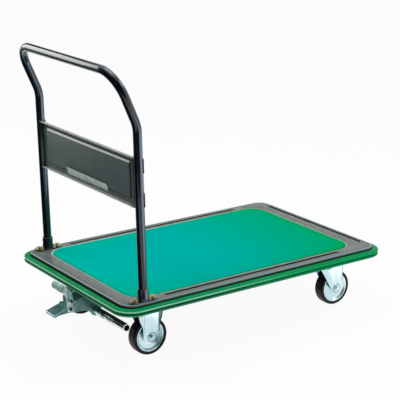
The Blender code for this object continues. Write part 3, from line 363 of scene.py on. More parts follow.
def grey_green_panel_paint():
    """Paint on the panel, with a painted highlight above its raised field and on its folded lips,
    and painted shade in the creases round the field.
    """
    made = Finish("grey_green_panel_paint", straight(68, 83, 83), 0.40)
    x, y, z = made.axes()
    height = z - DECK_TOP
    forward = x - LEG_X + height * LEAN
    cloud = made.noise(6.0, 4.0, 0.6)
    peel = made.noise(190.0, 2.0)
    colour = made.mottled(cloud, (76, 92, 92), (88, 103, 102))
    within = made.under(y.size(), FIELD_END + 0.0050, FIELD_END + 0.0062)
    # Painted highlight on the raised field's upper slope.
    above = made.near(height - FIELD_HIGH - 0.0026, 0.0016, 0.0030)
    colour = made.blend(above * within * 0.9, colour, straight(206, 214, 208))
    # Painted shade in the creases above, below and beside the field.
    upper_crease_shade = made.near(height - FIELD_HIGH - 0.0090, 0.0020, 0.0034)
    lower_slope_shade = made.near(height - FIELD_LOW + 0.0046, 0.0016, 0.0028)
    tall = made.shaped(height, FIELD_LOW - 0.0060, FIELD_LOW - 0.0048)
    tall = tall * made.under(height, FIELD_HIGH + 0.0048, FIELD_HIGH + 0.0060)
    beside = made.near(y.size() - FIELD_END - 0.0044, 0.0016, 0.0028) * tall
    shade = upper_crease_shade.largest(lower_slope_shade * within).largest(beside)
    colour = made.blend(shade * 0.85, colour, straight(24, 36, 35))
    # Painted highlight on the folded lips at the panel's top and bottom.
    folded = made.under(forward, -0.0032, -0.0022)
    ends = made.shaped((height - PANEL_MIDDLE).size(), 0.0765, 0.0775)
    colour = made.blend(folded * ends * 0.85, colour, straight(176, 180, 174))
    made.feed("Base Color", colour)
    made.feed("Roughness", 0.34 + peel * 0.12)
    made.bump(peel, 0.0001, 0.5)
    return made.material


def pale_label_film():
    made = Finish("pale_label_film", straight(160, 178, 170), 0.3)
    cloud = made.noise(30.0, 3.0)
    made.feed("Base Color", made.mottled(cloud, (140, 160, 154), (186, 202, 196)))
    made.feed("Roughness", 0.26 + cloud * 0.1)
    return made.material


def bright_zinc_plate():
    made = Finish("bright_zinc_plate", straight(204, 220, 224), 0.3, 1.0)
    cloud = made.noise(18.0, 4.0, 0.6)
    fine = made.noise(260.0, 2.0)
    colour = made.mottled(cloud, (198, 228, 234), (230, 246, 249))
    made.feed("Base Color", colour)
    made.feed("Roughness", 0.20 + cloud * 0.12 + fine * 0.06)
    made.bump(fine, 0.00005, 0.5)
    return made.material


def folded_zinc_plate():
    """Bright plating on a fork whose legs fold back at both sides, with painted shade in a ring
    round its boss, round the nut and along the folds.
    """
    made = Finish("folded_zinc_plate", straight(204, 220, 224), 0.26, 1.0)
    x, _, z = made.axes()
    cloud = made.noise(18.0, 4.0, 0.6)
    fine = made.noise(260.0, 2.0)
    from_fixed = (x - FIXED_AXLE_X).size()
    from_swivel = (x - SWIVEL_AXLE_X).size()
    beside = from_fixed.smallest(from_swivel)
    level = z - WHEEL_RADIUS
    away = (beside * beside + level * level) ** 0.5
    # Painted shade in the crease round the boss, round the nut and along each fold.
    ring = made.near(away - 0.0158, 0.0006, 0.0020)
    nut_shade = made.near(away - 0.0078, 0.0004, 0.0014, 0.7)
    crease = made.near(beside - FORK_FOLD, 0.0004, 0.0022)
    crease = crease * made.shaped(level, 0.012, 0.030)
    colour = made.mottled(cloud, (196, 230, 236), (230, 247, 250))
    colour = made.blend(ring.largest(nut_shade) * 0.8, colour, straight(70, 112, 118))
    colour = made.blend(crease * 0.45, colour, straight(96, 150, 156))
    made.feed("Base Color", colour)
    made.feed("Roughness", 0.20 + cloud * 0.06 + fine * 0.06)
    wing = (beside - FORK_FOLD).largest(0.0) * made.shaped(level, 0.004, 0.022)
    made.bump(wing * -0.46 + fine * 0.00002, 1.0)
    return made.material


def mottled_zinc_plate():
    """Plating on the release lever, tinted teal as a painted reflection of teal surroundings:
    darker webs and a dark tip.
    """
    made = Finish("mottled_zinc_plate", straight(120, 168, 162), 0.3, 0.8)
    x, _, _ = made.axes()
    cloud = made.noise(70.0, 3.0, 0.7)
    fine = made.noise(260.0, 2.0)
    # Teal patches: a painted reflection of teal surroundings.
    colour = made.mottled(cloud, (44, 96, 88), (196, 222, 218), 0.38, 0.62)
    tread = made.under(x, TREAD_INNER - 0.002, TREAD_INNER + 0.004)
    colour = made.blend(tread * 0.45, colour, straight(180, 214, 210))
    tip = made.under(x, TREAD_TIP + 0.004, TREAD_TIP + 0.012)
    colour = made.blend(tip * 0.75, colour, straight(40, 84, 80))
    made.feed("Base Color", colour)
    made.feed("Roughness", 0.22 + cloud * 0.16 + fine * 0.06)
    made.bump(cloud, 0.0004, 0.6)
    return made.material


def dented_zinc_plate():
    """Plating on the brake bar, knocked and dull in patches."""
    made = Finish("dented_zinc_plate", straight(204, 220, 224), 0.22, 1.0)
    cloud = made.noise(26.0, 4.0, 0.7)
    dents = made.noise(60.0, 2.0, 0.6)
    _, y, _ = made.axes()
    colour = made.mottled(cloud, (120, 160, 158), (228, 238, 238), 0.42, 0.60)
    ends = made.shaped(y.size(), BAR_HALF - 0.004, BAR_HALF - 0.002)
    colour = made.blend(ends, colour, straight(235, 242, 243))
    made.feed("Base Color", colour)
    made.feed("Roughness", 0.14 + cloud * 0.16)
    made.bump(dents, 0.0014, 0.8)
    return made.material


def yellow_zinc_plate():
    made = Finish("yellow_zinc_plate", straight(206, 190, 138), 0.24, 1.0)
    cloud = made.noise(60.0, 3.0)
    colour = made.mottled(cloud, (150, 124, 72), (206, 186, 140))
    made.feed("Base Color", colour)
    made.feed("Roughness", 0.18 + cloud * 0.12)
    return made.material


def black_tyre_rubber():
    made = Finish("black_tyre_rubber", straight(16, 14, 14), 0.42, Specular_IOR_Level=0.22)
    cloud = made.noise(30.0, 3.0)
    fine = made.noise(500.0, 2.0)
    colour = made.mottled(cloud, (12, 11, 12), (26, 22, 20))
    made.feed("Base Color", colour)
    made.feed("Roughness", 0.34 + cloud * 0.12)
    made.bump(fine, 0.00012, 0.5)
    return made.material


def zinc_with_painted_teal_reflection():
    # Zinc plating tinted teal: a painted reflection of teal surroundings.
    made = Finish("zinc_with_painted_teal_reflection", straight(70, 122, 122), 0.3, 0.55)
    cloud = made.noise(25.0, 3.0)
    fine = made.noise(240.0, 2.0)
    colour = made.mottled(cloud, (62, 122, 121), (124, 168, 163))
    made.feed("Base Color", colour)
    made.feed("Roughness", 0.24 + fine * 0.12 + cloud * 0.06)
    made.bump(fine + cloud, 0.0003, 0.6)
    return made.material


def dark_primer():
    made = Finish("dark_primer", straight(40, 46, 46), 0.5)
    cloud = made.noise(12.0, 4.0)
    fine = made.noise(240.0, 2.0)
    colour = made.mottled(cloud, (34, 41, 41), (50, 54, 54))
    made.feed("Base Color", colour)
    made.feed("Roughness", 0.44 + cloud * 0.14)
    made.bump(fine, 0.0001, 0.5)
    return made.material


DECK_PAINT = grey_deck_paint()
MAT_RUBBER = teal_mat_rubber()
BUMPER_RUBBER = green_bumper_rubber()
BLACK_PAINT = gloss_black_paint()
PANEL_PAINT = grey_green_panel_paint()
LABEL_FILM = pale_label_film()
ZINC = bright_zinc_plate()
FOLDED_ZINC = folded_zinc_plate()
MOTTLED_ZINC = mottled_zinc_plate()
DENTED_ZINC = dented_zinc_plate()
YELLOW_ZINC = yellow_zinc_plate()
TYRE_RUBBER = black_tyre_rubber()
ZINC_WITH_TEAL_REFLECTION = zinc_with_painted_teal_reflection()
PRIMER = dark_primer()

# ---------------------------------------------------------------- modelling tools

MERGE = 1e-6
CREASE = 35
NODE_CREASE = 30


def mesh_from(name, work):
    mesh = bpy.data.meshes.new(name)
    work.to_mesh(mesh)
    work.free()
    return mesh


def linked(name, data):
    made = bpy.data.objects.new(name, data)
    bpy.context.scene.collection.objects.link(made)
    return made


def smooth(mesh, crease):
    mesh.shade_smooth()
    mesh.set_sharp_from_angle(angle=math.radians(crease))


def piece(name, work, finish, body, nodes=(), crease=CREASE, mend=True):
    """Turns a bmesh into a finished piece that rides on a body."""
    if mend:
        bmesh.ops.remove_doubles(work, verts=work.verts, dist=MERGE)
        bmesh.ops.recalc_face_normals(work, faces=work.faces)
    mesh = mesh_from(name, work)
    mesh.materials.append(finish)
    smooth(mesh, crease)
    made = linked(name, mesh)
    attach(made, body)
    if nodes:
        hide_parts(*nodes)
    return made


def rounded_edges(made, width, segments=2, angle=40, worn=None):
    """Rounds the sharp edges, and may give them a worn finish of their own."""
    modifier = made.modifiers.new("edge", "BEVEL")
    if worn:
        made.data.materials.append(worn)
        modifier.material = 1
    modifier.width = width
    modifier.segments = segments
    modifier.limit_method = "ANGLE"
    modifier.angle_limit = math.radians(angle)


def carve(made, work, operation="DIFFERENCE"):
    """Cuts a shape out of a piece for good, or joins it on."""
    bmesh.ops.recalc_face_normals(work, faces=work.faces)
    cutter = linked("cutter", mesh_from("cutter", work))
    modifier = made.modifiers.new("carve", "BOOLEAN")
    modifier.object = cutter
    modifier.operation = operation
    modifier.solver = "EXACT"
    settle(made)
    bpy.data.objects.remove(cutter, do_unlink=True)


def settle(made):
    """Makes a piece's modifiers part of its mesh."""
    bpy.context.view_layer.update()
    graph = bpy.context.evaluated_depsgraph_get()
    mesh = bpy.data.meshes.new_from_object(made.evaluated_get(graph))
    made.modifiers.clear()
    made.data = mesh
    smooth(mesh, CREASE)


def thickened(made, thickness, offset):
    """Gives a sheet its thickness: offset -1 grows it inwards, 0 to both sides."""
    modifier = made.modifiers.new("sheet", "SOLIDIFY")
    modifier.thickness = thickness
    modifier.offset = offset


def chain(work, points, closed=False):
    """Vertices joined in a row by edges."""
    verts = [work.verts.new(point) for point in points]
    edges = [work.edges.new(pair) for pair in zip(verts, verts[1:])]
    if closed:
        edges.append(work.edges.new((verts[-1], verts[0])))
    return verts + edges


def edges_of(geometry):
    return [item for item in geometry if isinstance(item, bmesh.types.BMEdge)]


def verts_of(geometry):
    return [item for item in geometry if isinstance(item, bmesh.types.BMVert)]


def pushed(work, geometry, vector):
    """Extrudes a row of edges along a vector and returns its far row."""
    grown = bmesh.ops.extrude_edge_only(work, edges=edges_of(geometry))["geom"]
    verts = verts_of(grown)
    bmesh.ops.translate(work, verts=verts, vec=vector)
    row = set(verts)
    return verts + [edge for edge in edges_of(grown) if row.issuperset(edge.verts)]


def spun(work, geometry, centre, axis, angle, steps):
    """Turns a row of edges about an axis and returns its far row."""
    return bmesh.ops.spin(
        work, geom=geometry, cent=centre, axis=axis, angle=angle, steps=steps, use_duplicate=False
    )["geom_last"]


def round_corners(points, radii, steps=6, closed=True):
    """A flat path of (a, b) points with its corners rounded."""
    found = []
    count = len(points)
    for i, place in enumerate(points):
        here = Vector(place)
        if radii[i] <= 0 or (not closed and i in (0, count - 1)):
            found.append(tuple(here))
            continue
        back = (Vector(points[i - 1]) - here).normalized()
        ahead = (Vector(points[(i + 1) % count]) - here).normalized()
        half = back.angle(ahead) / 2
        centre = here + (back + ahead).normalized() * (radii[i] / math.sin(half))
        first = here + back * (radii[i] / math.tan(half)) - centre
        last = here + ahead * (radii[i] / math.tan(half)) - centre
        sweep = first.angle(last)
        for step in range(steps + 1):
            share = step / steps
            point = (
                first * math.sin((1 - share) * sweep) + last * math.sin(share * sweep)
            ) / math.sin(sweep)
            found.append(tuple(centre + point))
    return found


def arc(centre, radius, start, end, steps=8):
    found = []
    for i in range(steps + 1):
        angle = math.radians(start + (end - start) * i / steps)
        found.append(
            (centre[0] + radius * math.cos(angle), centre[1] + radius * math.sin(angle))
        )
    return found


def swept_round(work, profile, half_x, half_y, radius, mid_x, closed=False, steps=16):
    """Carries an (outward, height) profile round a rounded rectangle."""
    start = [(mid_x + half_x + out, radius - half_y, height) for out, height in profile]
    row = chain(work, start, closed)
    spans = (half_y - radius, half_x - radius) * 2
    for quarter, (sign_x, sign_y) in enumerate(((1, 1), (-1, 1), (-1, -1), (1, -1))):
        along = Matrix.Rotation(math.radians(90 * quarter), 3, "Z") @ Vector((0, 1, 0))
        row = pushed(work, row, along * 2 * spans[quarter])
        corner = (mid_x + sign_x * (half_x - radius), sign_y * (half_y - radius), 0)
        row = spun(work, row, corner, (0, 0, 1), math.radians(90), steps)
    bmesh.ops.remove_doubles(work, verts=work.verts, dist=MERGE)


def level_loop(work, height):
    """The open edges at one height."""
    return [
        edge
        for edge in work.edges
        if edge.is_boundary and all(abs(v.co.z - height) < MERGE for v in edge.verts)
    ]


def turned(profile, steps, axis="Z", closed=True):
    """A bmesh turned from a closed (radius, height) profile about an axis at the origin."""
    work = bmesh.new()
    row = chain(work, [(radius, 0, height) for radius, height in profile], closed)
    bmesh.ops.spin(
        work,
        geom=row,
        cent=(0, 0, 0),
        axis=(0, 0, 1),
        angle=math.tau,
        steps=steps,
        use_merge=True,
        use_duplicate=False,
    )
    bmesh.ops.remove_doubles(work, verts=work.verts, dist=MERGE)
    bmesh.ops.recalc_face_normals(work, faces=work.faces)
    if axis == "Y":
        bmesh.ops.rotate(work, verts=work.verts, matrix=Matrix.Rotation(-math.pi / 2, 3, "X"))
    return work


def moved(work, place):
    bmesh.ops.translate(work, verts=work.verts, vec=place)
    return work


def slab(outline, low, high):
    """A flat outline given thickness between two heights."""
    work = bmesh.new()
    face = work.faces.new([work.verts.new((a, b, low)) for a, b in outline])
    grown = bmesh.ops.extrude_face_region(work, geom=[face])["geom"]
    bmesh.ops.translate(work, verts=verts_of(grown), vec=(0, 0, high - low))
    bmesh.ops.recalc_face_normals(work, faces=work.faces)
    return work


def added(work, other):
    """Puts a second bmesh into the first one."""
    mesh = mesh_from("part", other)
    work.from_mesh(mesh)
    bpy.data.meshes.remove(mesh)


def bent_tube(points, radii, tube_radius, sides=40, steps=12):
    """A round tube along straight runs joined by true arcs."""
    places = [Vector(point) for point in points]
    work = bmesh.new()
    heading = (places[1] - places[0]).normalized()
    ring = bmesh.ops.create_circle(work, cap_ends=False, segments=sides, radius=tube_radius)
    turn = Vector((0, 0, 1)).rotation_difference(heading).to_matrix()
    bmesh.ops.rotate(work, verts=ring["verts"], matrix=turn)
    bmesh.ops.translate(work, verts=ring["verts"], vec=places[0])
    row = ring["verts"] + list(work.edges)
    at = places[0]
    for i in range(1, len(places)):
        if i == len(places) - 1:
            row = pushed(work, row, places[i] - at)
            break
        ahead = (places[i + 1] - places[i]).normalized()
        bend = heading.angle(ahead)
        cut_back = radii[i] * math.tan(bend / 2)
        start = places[i] - heading * cut_back
        row = pushed(work, row, start - at)
        axis = heading.cross(ahead).normalized()
        centre = start + axis.cross(heading) * radii[i]
        row = spun(work, row, centre, axis, bend, steps)
        at = places[i] + ahead * cut_back
        heading = ahead
    return work


def from_node(name, node, finish, body, edge=0.0005, worn=None):
    """A cleaned copy of a solid, with its edges rounded."""
    work = bmesh.new()
    work.from_mesh(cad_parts[node].data)
    bmesh.ops.remove_doubles(work, verts=work.verts, dist=2 * MERGE)
    bmesh.ops.dissolve_limit(
        work, angle_limit=math.radians(0.6), verts=work.verts, edges=work.edges
    )
    made = piece(name, work, finish, body, [node], NODE_CREASE, mend=False)
    if edge:
        rounded_edges(made, edge, worn=worn)
    return made


# ---------------------------------------------------------------- deck, mat and bumper

SHEET = 0.002
EDGE = 0.005
RECESS = 0.003
GAP = 0.0003

work = bmesh.new()
skirt = [(0.0, deck_low.z), (0.0, DECK_TOP - EDGE)]
skirt += [(a - EDGE, b + DECK_TOP - EDGE) for a, b in arc((0, 0), EDGE, 0, 90, 6)][1:]
swept_round(work, skirt, DECK_HALF_X, DECK_HALF_Y, DECK_CORNER, DECK_MID)
grow = GAP + RECESS
dip = [(0.0015, DECK_TOP), (0.0004, DECK_TOP - 0.0004), (-0.0026, mat_low.z - GAP + 0.0004)]
dip += [(-RECESS - 0.0012, mat_low.z - GAP)]
swept_round(work, dip, MAT_HALF_X + grow, MAT_HALF_Y + grow, MAT_CORNER + grow, MAT_MID)
bmesh.ops.bridge_loops(work, edges=level_loop(work, DECK_TOP))
bmesh.ops.edgeloop_fill(work, edges=level_loop(work, mat_low.z - GAP))
deck_shell = piece("deck_shell", work, DECK_PAINT, "chassis", ["deck_pan"])
thickened(deck_shell, SHEET, -1)
settle(deck_shell)


def slot_shape(length, width, middle, low, high, quarter=False):
    """A straight slot with round ends."""
    half = (length - width) / 2
    outline = arc((half, 0), width / 2, -90, 90, 8) + arc((-half, 0), width / 2, 90, 270, 8)
    shape = slab(outline, low, high)
    if quarter:
        turn = Matrix.Rotation(math.pi / 2, 3, "Z")
        bmesh.ops.rotate(shape, verts=shape.verts, matrix=turn)
    return moved(shape, (*middle, 0))


GROOVE = 0.0115
GROOVE_DEPTH = 0.004
TROUGH_DEPTH = 0.006
TROUGH_WALLS = 0.004
HOLE_RADIUS = 0.0036
groove_y = DECK_HALF_Y - 0.0280
groove_from = LEG_X + 0.084
groove_to = deck_high.x - 0.160
end_groove_x = deck_high.x - 0.0195
grooves = [
    (groove_to - groove_from, ((groove_from + groove_to) / 2, side * groove_y), False)
    for _, side in SIDES
]
end_groove_half = DECK_HALF_Y - 0.0685
grooves.append((2 * end_groove_half, (end_groove_x, 0), True))
# Each groove is a solid trough joined on under the deck and then hollowed from above.
for length, middle, quarter in grooves:
    size = (length + TROUGH_WALLS, GROOVE + TROUGH_WALLS)
    levels = (DECK_TOP - TROUGH_DEPTH, DECK_TOP - SHEET / 2)
    carve(deck_shell, slot_shape(*size, middle, *levels, quarter), "UNION")
    levels = (DECK_TOP - GROOVE_DEPTH, DECK_TOP + GROOVE_DEPTH)
    carve(deck_shell, slot_shape(length, GROOVE, middle, *levels, quarter))
holes = []
for _, side in SIDES:
    holes.append((groove_to + 0.004, side * groove_y))
    holes.append((end_groove_x - 0.006, side * (end_groove_half + 0.004)))
for place in holes:
    outline = arc(place, HOLE_RADIUS, 0, 345, 23)
    carve(deck_shell, slab(outline, DECK_TOP - 0.01, DECK_TOP + 0.01))
rounded_edges(deck_shell, 0.0006, 2, 50)

MAT_EDGE = 0.0012
work = bmesh.new()
mat_edge = [(0.0, mat_low.z), (0.0, mat_high.z - MAT_EDGE)]
mat_edge += [
    (a - MAT_EDGE, b + mat_high.z - MAT_EDGE) for a, b in arc((0, 0), MAT_EDGE, 0, 90, 4)
][1:]
swept_round(work, mat_edge, MAT_HALF_X, MAT_HALF_Y, MAT_CORNER, MAT_MID)
bmesh.ops.edgeloop_fill(work, edges=level_loop(work, mat_high.z))
bmesh.ops.edgeloop_fill(work, edges=level_loop(work, mat_low.z))
piece("rubber_mat", work, MAT_RUBBER, "chassis", ["deck_mat"])

depth = bumper_high.x - deck_high.x - GAP
reach = depth - ROLL
section = [(0.0, bumper_low.z), (0.0, bumper_high.z - 0.0010), (0.0012, bumper_high.z)]
for level in (UPPER_ROLL_Z, LOWER_ROLL_Z):
    section += arc((reach, level), ROLL, 90, -90, 12)
closed_section = []
for point in section:
    if not closed_section or (Vector(point) - Vector(closed_section[-1])).length > 1e-6:
        closed_section.append(point)
work = bmesh.new()
sizes = (DECK_HALF_X + GAP, DECK_HALF_Y + GAP, DECK_CORNER + GAP, DECK_MID)
swept_round(work, closed_section, *sizes, closed=True)
bumper = piece("rubber_bumper", work, BUMPER_RUBBER, "chassis", ["bumper"], 60)
SEAM_WIDTH = 0.0012
seam = bmesh.new()
bmesh.ops.create_cube(seam, size=1.0)
bmesh.ops.scale(seam, verts=seam.verts, vec=(0.08, SEAM_WIDTH, 0.06))
carve(bumper, moved(seam, (bumper_low.x, 0, BUMPER_SEAM)))

for name in ("cross_channel_rear", "cross_channel_front", "centre_channel"):
    from_node(f"{name}_steel", name, PRIMER, "chassis", 0.0012)

# ---------------------------------------------------------------- handle

lean = Matrix.Rotation(-LEAN, 4, "Y")
stand = Matrix.Translation((LEG_X, 0, DECK_TOP)) @ lean


def leaning(x, y, z):
    return stand @ Vector((x, y, z))


# The legs lean a little, then slant further back to the crossbar.
LEG_FOOT = 0.002
LEG_BEND_AT = 0.5604
LEG_BEND = 0.110
SLANT = math.radians(22.1)
SLANT_RUN = 0.1844
BAR_BEND = 0.0832
top_x = -SLANT_RUN * math.sin(SLANT)
top_z = LEG_BEND_AT + SLANT_RUN * math.cos(SLANT)
corners = [
    leaning(0, LEG_Y, LEG_FOOT),
    leaning(0, LEG_Y, LEG_BEND_AT),
    leaning(top_x, LEG_Y, top_z),
    leaning(top_x, -LEG_Y, top_z),
    leaning(0, -LEG_Y, LEG_BEND_AT),
    leaning(0, -LEG_Y, LEG_FOOT),
]
work = bent_tube(corners, [0, LEG_BEND, BAR_BEND, BAR_BEND, LEG_BEND, 0], TUBE_RADIUS)
piece("handle_bow", work, BLACK_PAINT, "chassis", ["handle_tube"], 60)

# Panel sheet: a lipped profile run between the legs, with its field pushed out.
LIP = 0.013
LIP_BEND = 0.003
PANEL_SHEET = 0.0015
CLAMP_SHEET = 0.0025
panel_end = LEG_Y - TUBE_RADIUS - GAP - CLAMP_SHEET / 2
lip = [(-LIP, PANEL_LOW), (0, PANEL_LOW), (0, PANEL_LOW + 0.05)]
lip = round_corners(lip, [0, LIP_BEND, 0], 5, False)
profile = lip[:-1] + [(x, PANEL_LOW + PANEL_HIGH - z) for x, z in reversed(lip[:-1])]
work = bmesh.new()
row = chain(work, [(x, -panel_end, z) for x, z in profile])
pushed(work, row, Vector((0, 2 * panel_end, 0)))
RISE = 0.005
cuts = []
for height in (FIELD_LOW - RISE, FIELD_LOW, FIELD_HIGH, FIELD_HIGH + RISE):
    cuts.append(((0, 0, height), (0, 0, 1)))
for across in (-FIELD_END - RISE, -FIELD_END, FIELD_END, FIELD_END + RISE):
    cuts.append(((0, across, 0), (0, 1, 0)))
for spot, normal in cuts:
    every = work.verts[:] + work.edges[:] + work.faces[:]
    bmesh.ops.bisect_plane(work, geom=every, plane_co=spot, plane_no=normal)
raised = [
    v
    for v in work.verts
    if FIELD_LOW - 1e-5 < v.co.z < FIELD_HIGH + 1e-5 and abs(v.co.y) < FIELD_END + 1e-5
]
bmesh.ops.translate(work, verts=raised, vec=(-RISE, 0, 0))
rim = [
    e
    for e in work.edges
    if len(e.link_faces) == 2 and e.calc_face_angle() > math.radians(20)
    and all(v.co.z > PANEL_LOW + 0.01 and v.co.z < PANEL_HIGH - 0.01 for v in e.verts)
]
bmesh.ops.bevel(
    work,
    geom=rim,
    offset=0.0012,
    offset_type="OFFSET",
    affect="EDGES",
    segments=3,
    profile=0.5,
    material=-1,
    clamp_overlap=True,
)
bmesh.ops.transform(work, verts=work.verts, matrix=stand)
panel = piece("handle_panel_sheet", work, PANEL_PAINT, "chassis", ["handle_panel"], 50)
thickened(panel, PANEL_SHEET, 0)

# A clamp wraps each leg along the panel's height, with a tab further round at either end.
TAB = 0.044
TAB_INSET = 0.003
for word, side in SIDES:
    inner = TUBE_RADIUS + GAP
    outer = inner + CLAMP_SHEET
    work = bmesh.new()
    for start, end, low, high in (
        (-55, 92, PANEL_LOW, PANEL_HIGH),
        (90, 140, PANEL_LOW + TAB_INSET, PANEL_LOW + TAB_INSET + TAB),
        (90, 140, PANEL_HIGH - TAB_INSET - TAB, PANEL_HIGH - TAB_INSET),
    ):
        inward = -90 * side
        band = arc((0, side * LEG_Y), outer, inward + start * side, inward + end * side, 14)
        band += arc((0, side * LEG_Y), inner, inward + end * side, inward + start * side, 14)
        added(work, slab(band, low, high))
    bmesh.ops.transform(work, verts=work.verts, matrix=stand)
    clamp = piece(f"panel_clamp_{word}", work, BLACK_PAINT, "chassis", ["handle_panel"], 40)
    rounded_edges(clamp, 0.0005)

work = bmesh.new()
work.from_mesh(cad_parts["panel_label"].data)
bmesh.ops.remove_doubles(work, verts=work.verts, dist=2 * MERGE)
low, high = (Vector(corner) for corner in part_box("panel_label"))
label_middle = Matrix.Translation((low + high) / 2)
bmesh.ops.scale(work, verts=work.verts, vec=(1.0, 0.95, 1.26), space=label_middle.inverted())
bmesh.ops.translate(work, verts=work.verts, vec=(0, -0.006, 0.0008))
label = piece(
    "panel_label_film", work, LABEL_FILM, "chassis", ["panel_label"], NODE_CREASE, mend=False
)
rounded_edges(label, 0.0002)

# Profiles of the dish in each socket bolt's head and of the black disc of painted shade in it.
DISH = ((0.0, 0.004), (0.0046, 0.004), (0.0042, -0.0008), (0.0030, -0.0018), (0.0, -0.0020))
DISH_SHADE = ((0.0, -0.0010), (0.0036, -0.0010), (0.0036, -0.0013), (0.0, -0.0016))
for word, _ in SIDES:
    from_node(f"leg_socket_{word}_casting", f"leg_socket_{word}", BLACK_PAINT, "chassis", 0.0008)
    for end in ("front", "rear"):
        node = f"socket_bolt_{word}_{end}"
        bolt = from_node(f"{node}_plated", node, YELLOW_ZINC, "chassis", 0.0)
        low, high = (Vector(corner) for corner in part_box(node))
        cutter = turned(DISH, 24, closed=False)
        spot = ((low.x + high.x) / 2, (low.y + high.y) / 2, high.z)
        carve(bolt, moved(cutter, spot))
        rounded_edges(bolt, 0.0004)
        # A black disc in the dish stands in for the shade at its bottom.
        work = moved(turned(DISH_SHADE, 24, closed=False), spot)
        piece(f"{node}_socket", work, BLACK_PAINT, "chassis")

# ---------------------------------------------------------------- casters

HUB_HALF = 0.022
RIM_SEAT = 0.0455
RIM_HALF = 0.0185
FLANGE = RIM_SEAT + 0.006


def wheel_centre(node):
    low, high = (Vector(corner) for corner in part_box(node))
    return (low + high) / 2


def tyre_shape():
    upper = round_corners(
        [
            (RIM_SEAT + GAP, 0.0),
            (RIM_SEAT + GAP, 0.0157),
            (FLANGE + GAP, 0.0157),
            (FLANGE + 0.0010, RIM_HALF - 0.0002),
            (0.0575, 0.0205),
            (0.0617, 0.0192),
            (WHEEL_RADIUS, 0.0120),
            (WHEEL_RADIUS, 0.0),
        ],
        [0, 0, 0.0003, 0.0008, 0.003, 0.0035, 0.012, 0],
        5,
        False,
    )
    lower = [(radius, -height) for radius, height in reversed(upper[1:-1])]
    return turned(upper + lower, 96, "Y")


def rim_shape():
    well = RIM_SEAT - 0.0025
    upper = round_corners(
        [
            (0.0083, 0.0),
            (0.0083, HUB_HALF),
            (0.0150, HUB_HALF),
            (0.0158, 0.0152),
            (0.0370, 0.0120),
            (well, 0.0120),
            (FLANGE - 0.0035, RIM_HALF),
            (FLANGE, RIM_HALF),
            (FLANGE, 0.0160),
            (RIM_SEAT, 0.0160),
            (RIM_SEAT, 0.0),
        ],
        [0, 0.0004, 0.0012, 0.003, 0.003, 0.0012, 0.0008, 0.0008, 0.0003, 0.0003, 0],
        4,
        False,
    )
    lower = [(radius, -height) for radius, height in reversed(upper[1:-1])]
    return turned(upper + lower, 96, "Y")


for kind in ("fixed", "swivel"):
    for word, _ in SIDES:
        place = wheel_centre(f"{kind}_tyre_{word}")
        wheel = f"{kind}_wheel_{word}"
        carrier = "chassis" if kind == "fixed" else f"swivel_{word}"
        node = f"{kind}_tyre_{word}"
        piece(f"{node}_tread", moved(tyre_shape(), place), TYRE_RUBBER, wheel, [node], 60)
        node = f"{kind}_rim_{word}"
        piece(f"{node}_centre", moved(rim_shape(), place), ZINC, wheel, [node], 40)
        node = f"{kind}_fork_{word}"
        from_node(f"{node}_pressed", node, FOLDED_ZINC, carrier, 0.0006)
        node = f"{kind}_axle_bolt_{word}"
        from_node(f"{node}_plated", node, ZINC, carrier, 0.0006)
        node = f"{kind}_sleeve_{word}"
        from_node(f"{node}_plain", node, PRIMER, carrier, 0)
for word, _ in SIDES:
    from_node(f"swivel_plate_{word}_pressed", f"swivel_plate_{word}", ZINC, "chassis", 0.0005)

# Each caster's plate hangs from four bolts: a washer, and a hexagon head below it.
PLATE_SHEET = 0.004
BOLT_SPOTS = [(along, across) for along in (-0.040, 0.040) for across in (-0.0345, 0.0345)]
BOLT_DISCS = ((0.0085, 24, 0.0, 0.0014), (0.0075, 6, 0.0014, 0.0053))
for node in ("fixed_fork_left", "fixed_fork_right", "swivel_plate_left", "swivel_plate_right"):
    low, high = (Vector(corner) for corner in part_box(node))
    middle = (low + high) / 2
    for number, (along, across) in enumerate(BOLT_SPOTS, 1):
        work = bmesh.new()
        for radius, steps, top, depth in BOLT_DISCS:
            disc = bmesh.ops.create_cone(
                work, cap_ends=True, segments=steps, radius1=radius, radius2=radius, depth=depth
            )
            bmesh.ops.translate(work, verts=disc["verts"], vec=(0, 0, -top - depth / 2))
        place = (middle.x + along, middle.y + across, high.z - PLATE_SHEET)
        made = piece(f"{node}_mount_bolt_{number}", moved(work, place), ZINC, "chassis")
        rounded_edges(made, 0.0005)

# ---------------------------------------------------------------- foot brake

for node in ("brake_plate_left", "brake_plate_right", "lock_pedal"):
    from_node(f"{node}_plated", node, ZINC_WITH_TEAL_REFLECTION, "brake_lever", 0.0011, worn=ZINC)
node = "release_lever"
from_node(f"{node}_plated", node, MOTTLED_ZINC, "release_lever", 0.0015, worn=ZINC)
for node, body, finish in (
    ("brake_shaft", "brake_lever", ZINC),
    ("release_pin", "release_lever", PRIMER),
    ("release_tie_bolt", "release_lever", PRIMER),
):
    from_node(f"{node}_plated", node, finish, body, 0.0004)
from_node("brake_bracket_painted", "brake_bracket", PRIMER, "chassis", 0.0006)
strap_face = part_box("release_lever")[0][1]
for node, outer in (("release_pin", 0.0095), ("release_tie_bolt", 0.0072)):
    low, high = (Vector(corner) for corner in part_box(node))
    ring = [(0.0050, 0.0001), (outer, 0.0001), (outer, 0.0008), (outer - 0.0008, 0.0014)]
    ring += [(0.0056, 0.0014), (0.0050, 0.0008)]
    work = turned(ring, 32, "Y")
    if sum(v.co.y for v in work.verts) > 0:
        bmesh.ops.rotate(work, verts=work.verts, matrix=Matrix.Rotation(math.pi, 3, "X"))
    place = ((low.x + high.x) / 2, strap_face, (low.z + high.z) / 2)
    piece(f"{node}_washer", moved(work, place), ZINC, "release_lever")

